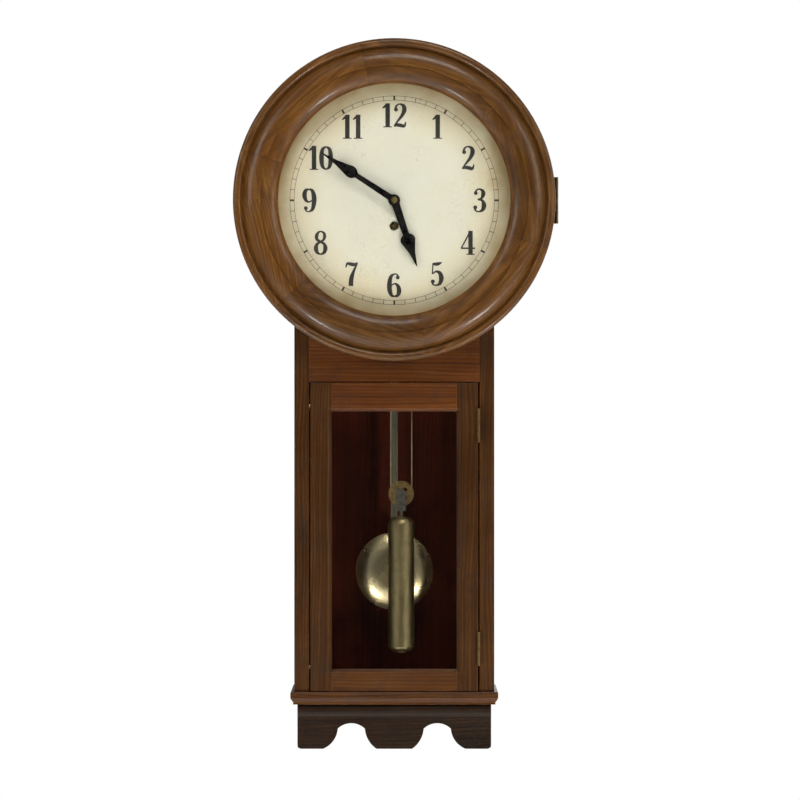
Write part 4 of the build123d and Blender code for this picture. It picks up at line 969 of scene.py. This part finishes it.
def add_cords():
    """The driving cord: a run up to the stud, the loop under the pulley and a run on to the drum."""
    y, left_x, right_x = cord_lines()
    left_low = Vector((left_x, y, PULLEY.z))
    left_top = Vector((left_x, y, middle("cable_stud").z))
    add_cord_run("left", straight(left_low, left_top))
    right_low, right_top = Vector((right_x, y, PULLEY.z)), Vector((right_x, y, DRUM.z))
    reach = right_x - DRUM.x
    quarter = math.pi / 2
    on_drum = arc(DRUM, reach, y, 0.0, quarter, round(reach * quarter / CORD_STEP))
    add_cord_run("right", straight(right_low, right_top) + on_drum)
    centre, loop_r = Vector(((left_x + right_x) / 2, y, PULLEY.z)), (right_x - left_x) / 2
    line = [right_low, *arc(centre, loop_r, y, 0.0, -math.pi, LOOP_STEPS)]
    mesh = mesh_from("cord_loop", lambda shape: twisted_cord(shape, line))
    loop = new_piece("cord_loop", mesh, "gut", "weight")
    smooth(loop, math.pi)
    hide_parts("cable_loop")


def add_wound_cord():
    """The turns of cord on the drum, in front of the quarter turn that ends the right-hand run."""
    y, _, right_x = cord_lines()
    reach = right_x - DRUM.x
    line = []
    for number in range(round(WOUND_TURNS * WOUND_STEPS) + 1):
        turn = math.pi / 2 + math.tau * number / WOUND_STEPS
        forward_by = WOUND_PITCH * (1 + number / WOUND_STEPS)
        x, z = DRUM.x + reach * math.cos(turn), DRUM.z + reach * math.sin(turn)
        line.append(Vector((x, y - forward_by, z)))
    mesh = mesh_from("cord_on_drum", lambda shape: twisted_cord(shape, line))
    smooth(new_piece("cord_on_drum", mesh, "gut", "drum"), math.pi)


# Boards whose CAD edges are sharp
SHARP_BOARDS = (
    "trunk_side_left",
    "trunk_side_right",
    "neck_rail",
    "door_stile_left",
    "door_stile_right",
    "door_rail_top",
    "door_rail_bottom",
    "apron_front",
    "apron_left",
    "apron_right",
    "bottom_board",
)
EDGE_ROUNDING = 0.0006

for node in NODES:
    smooth(NODES[node])
for node in SHARP_BOARDS:
    soften(NODES[node], EDGE_ROUNDING)

add_numerals()
add_wound_cord()
add_minute_track()
add_cords()
add_head_hinge_screws()
add_trunk_hinge_screws()
add_hanger_screws()


# ---------------------------------------------------------------- camera, light and floor

# How much height the view takes in at the clock's front, how far in front of it the camera stands,
# and how far off the clock's middle it stands to frame it as the photograph does
VIEW_HEIGHT, CAMERA_DISTANCE = 1.0235, 4.6
CAMERA_SHIFT_X, CAMERA_SHIFT_Z = 0.0074, -0.0070
SENSOR = 36.0


def add_camera():
    """A camera straight in front of the clock, close to level with its middle."""
    low, high = CAD_BOX
    data = bpy.data.cameras.new("camera")
    data.sensor_width = SENSOR
    data.lens = SENSOR * CAMERA_DISTANCE / VIEW_HEIGHT
    camera = bpy.data.objects.new("camera", data)
    height = (low.z + high.z) / 2 + CAMERA_SHIFT_Z
    camera.location = (CAMERA_SHIFT_X, low.y - CAMERA_DISTANCE, height)
    camera.rotation_euler = (math.radians(90), 0, 0)
    bpy.context.scene.collection.objects.link(camera)
    bpy.context.scene.camera = camera


WHITE, WARM = (1.0, 1.0, 1.0), (1.0, 0.965, 0.915)
AIM, AIM_LOW = (0.0, -0.08, -0.45), (0.0, -0.05, -0.63)


def add_lamp(name, place, target, size, power):
    """A warm rectangular lamp aimed at a target. size is its two sides, and power is in watts."""
    data = bpy.data.lights.new(name, "AREA")
    data.shape, data.size, data.size_y = "RECTANGLE", *size
    data.energy, data.color = power, WARM
    lamp = bpy.data.objects.new(name, data)
    lamp.location = place
    lamp.rotation_euler = (Vector(target) - Vector(place)).to_track_quat("-Z", "Y").to_euler()
    bpy.context.scene.collection.objects.link(lamp)


# How brightly the world lights the clock, all round and straight in front, and the y of a ray's
# direction where the dimming starts and ends
ROUND_LIGHT, FRONT_LIGHT = 0.26, 0.01
DIM_FROM, DIM_TO = -0.80, -0.97


def add_world():
    """White behind the clock, soft light all round, and dim where its glass would mirror the room."""
    world = bpy.data.worlds.new("studio")
    bpy.context.scene.world = world
    tree = Tree(world, "OutputWorld")
    way = tree.node("TexCoord").outputs["Generated"]
    frontward = tree.node("SeparateXYZ", {0: way}).outputs[1]
    strength = tree.stretch(frontward, DIM_FROM, DIM_TO, ROUND_LIGHT, FRONT_LIGHT)
    lighting = tree.node("Background", {"Color": WHITE, "Strength": strength})
    seen = tree.node("Background", {"Color": WHITE})
    path = tree.node("LightPath").outputs
    bounces = tree.work("ADD", path["Diffuse Depth"], path["Glossy Depth"])
    straight_on = tree.work("LESS_THAN", bounces, 0.5)
    through_glass = tree.work("MULTIPLY", path["Is Transmission Ray"], straight_on)
    direct = tree.work("MAXIMUM", path["Is Camera Ray"], through_glass)
    both = tree.node("MixShader", {0: direct, 1: lighting.outputs[0], 2: seen.outputs[0]})
    tree.feed(tree.output.inputs[0], both.outputs[0])


# The floor's radius, where it starts to fade, where it has gone as a share of its radius, and how far
# it lies below the clock
FLOOR_REACH, FLOOR_FADE_FROM, FLOOR_FADE_TO, FLOOR_DROP = 9.0, 1.5, 0.98, 1.30
FLOOR_STEPS, FLOOR_GLOW = 96, 0.62
FLOOR_TONES = [(0.3, (0.86, 0.86, 0.86)), (0.7, (0.90, 0.90, 0.90))]


def add_floor():
    """A plain pale floor well below the clock, fading into white and clear from below."""
    level = CAD_BOX[0].z - FLOOR_DROP
    mesh = bpy.data.meshes.new("floor")
    rim = [(x, y, level) for x, y in circle_points((0.0, 0.0), FLOOR_REACH, FLOOR_STEPS)]
    mesh.from_pydata(rim, [], [tuple(range(len(rim)))])
    floor = bpy.data.objects.new("floor", mesh)
    bpy.context.scene.collection.objects.link(floor)
    paint = Paint("pale_floor")
    x, y, _ = paint.place()
    point = paint.vector(x, y, 0.0)
    colour = paint.ramp(paint.noise(point, 3.0, 2.0), FLOOR_TONES)
    paint.set(Base_Color=colour, Roughness=0.9, Emission_Color=WHITE, Emission_Strength=FLOOR_GLOW)
    fade_to = FLOOR_REACH * FLOOR_FADE_TO
    near = paint.stretch(paint.length(point), FLOOR_FADE_FROM, fade_to, 1.0, 0.0)
    from_above = paint.work("SUBTRACT", 1.0, paint.node("NewGeometry").outputs["Backfacing"])
    paint.set(Alpha=paint.work("MULTIPLY", near, from_above))
    floor.data.materials.append(paint.material)


add_camera()
add_world()
add_floor()
add_lamp("key_left", (-2.4, -1.6, 0.7), AIM, (1.1, 1.7), 28.0)
add_lamp("key_right", (2.5, -1.5, 0.6), AIM, (1.0, 1.7), 26.0)
add_lamp("overhead", (0.4, -1.7, 2.1), AIM, (1.6, 1.0), 44.0)
add_lamp("low_left", (-1.1, -1.5, -1.8), AIM_LOW, (0.42, 0.34), 18.0)
add_lamp("low_right", (1.22, -1.55, -1.72), AIM_LOW, (0.42, 0.34), 23.0)
add_lamp("behind", (0.7, 2.6, 0.5), AIM, (1.6, 1.6), 24.0)
bpy.context.scene.view_settings.view_transform = "Standard"
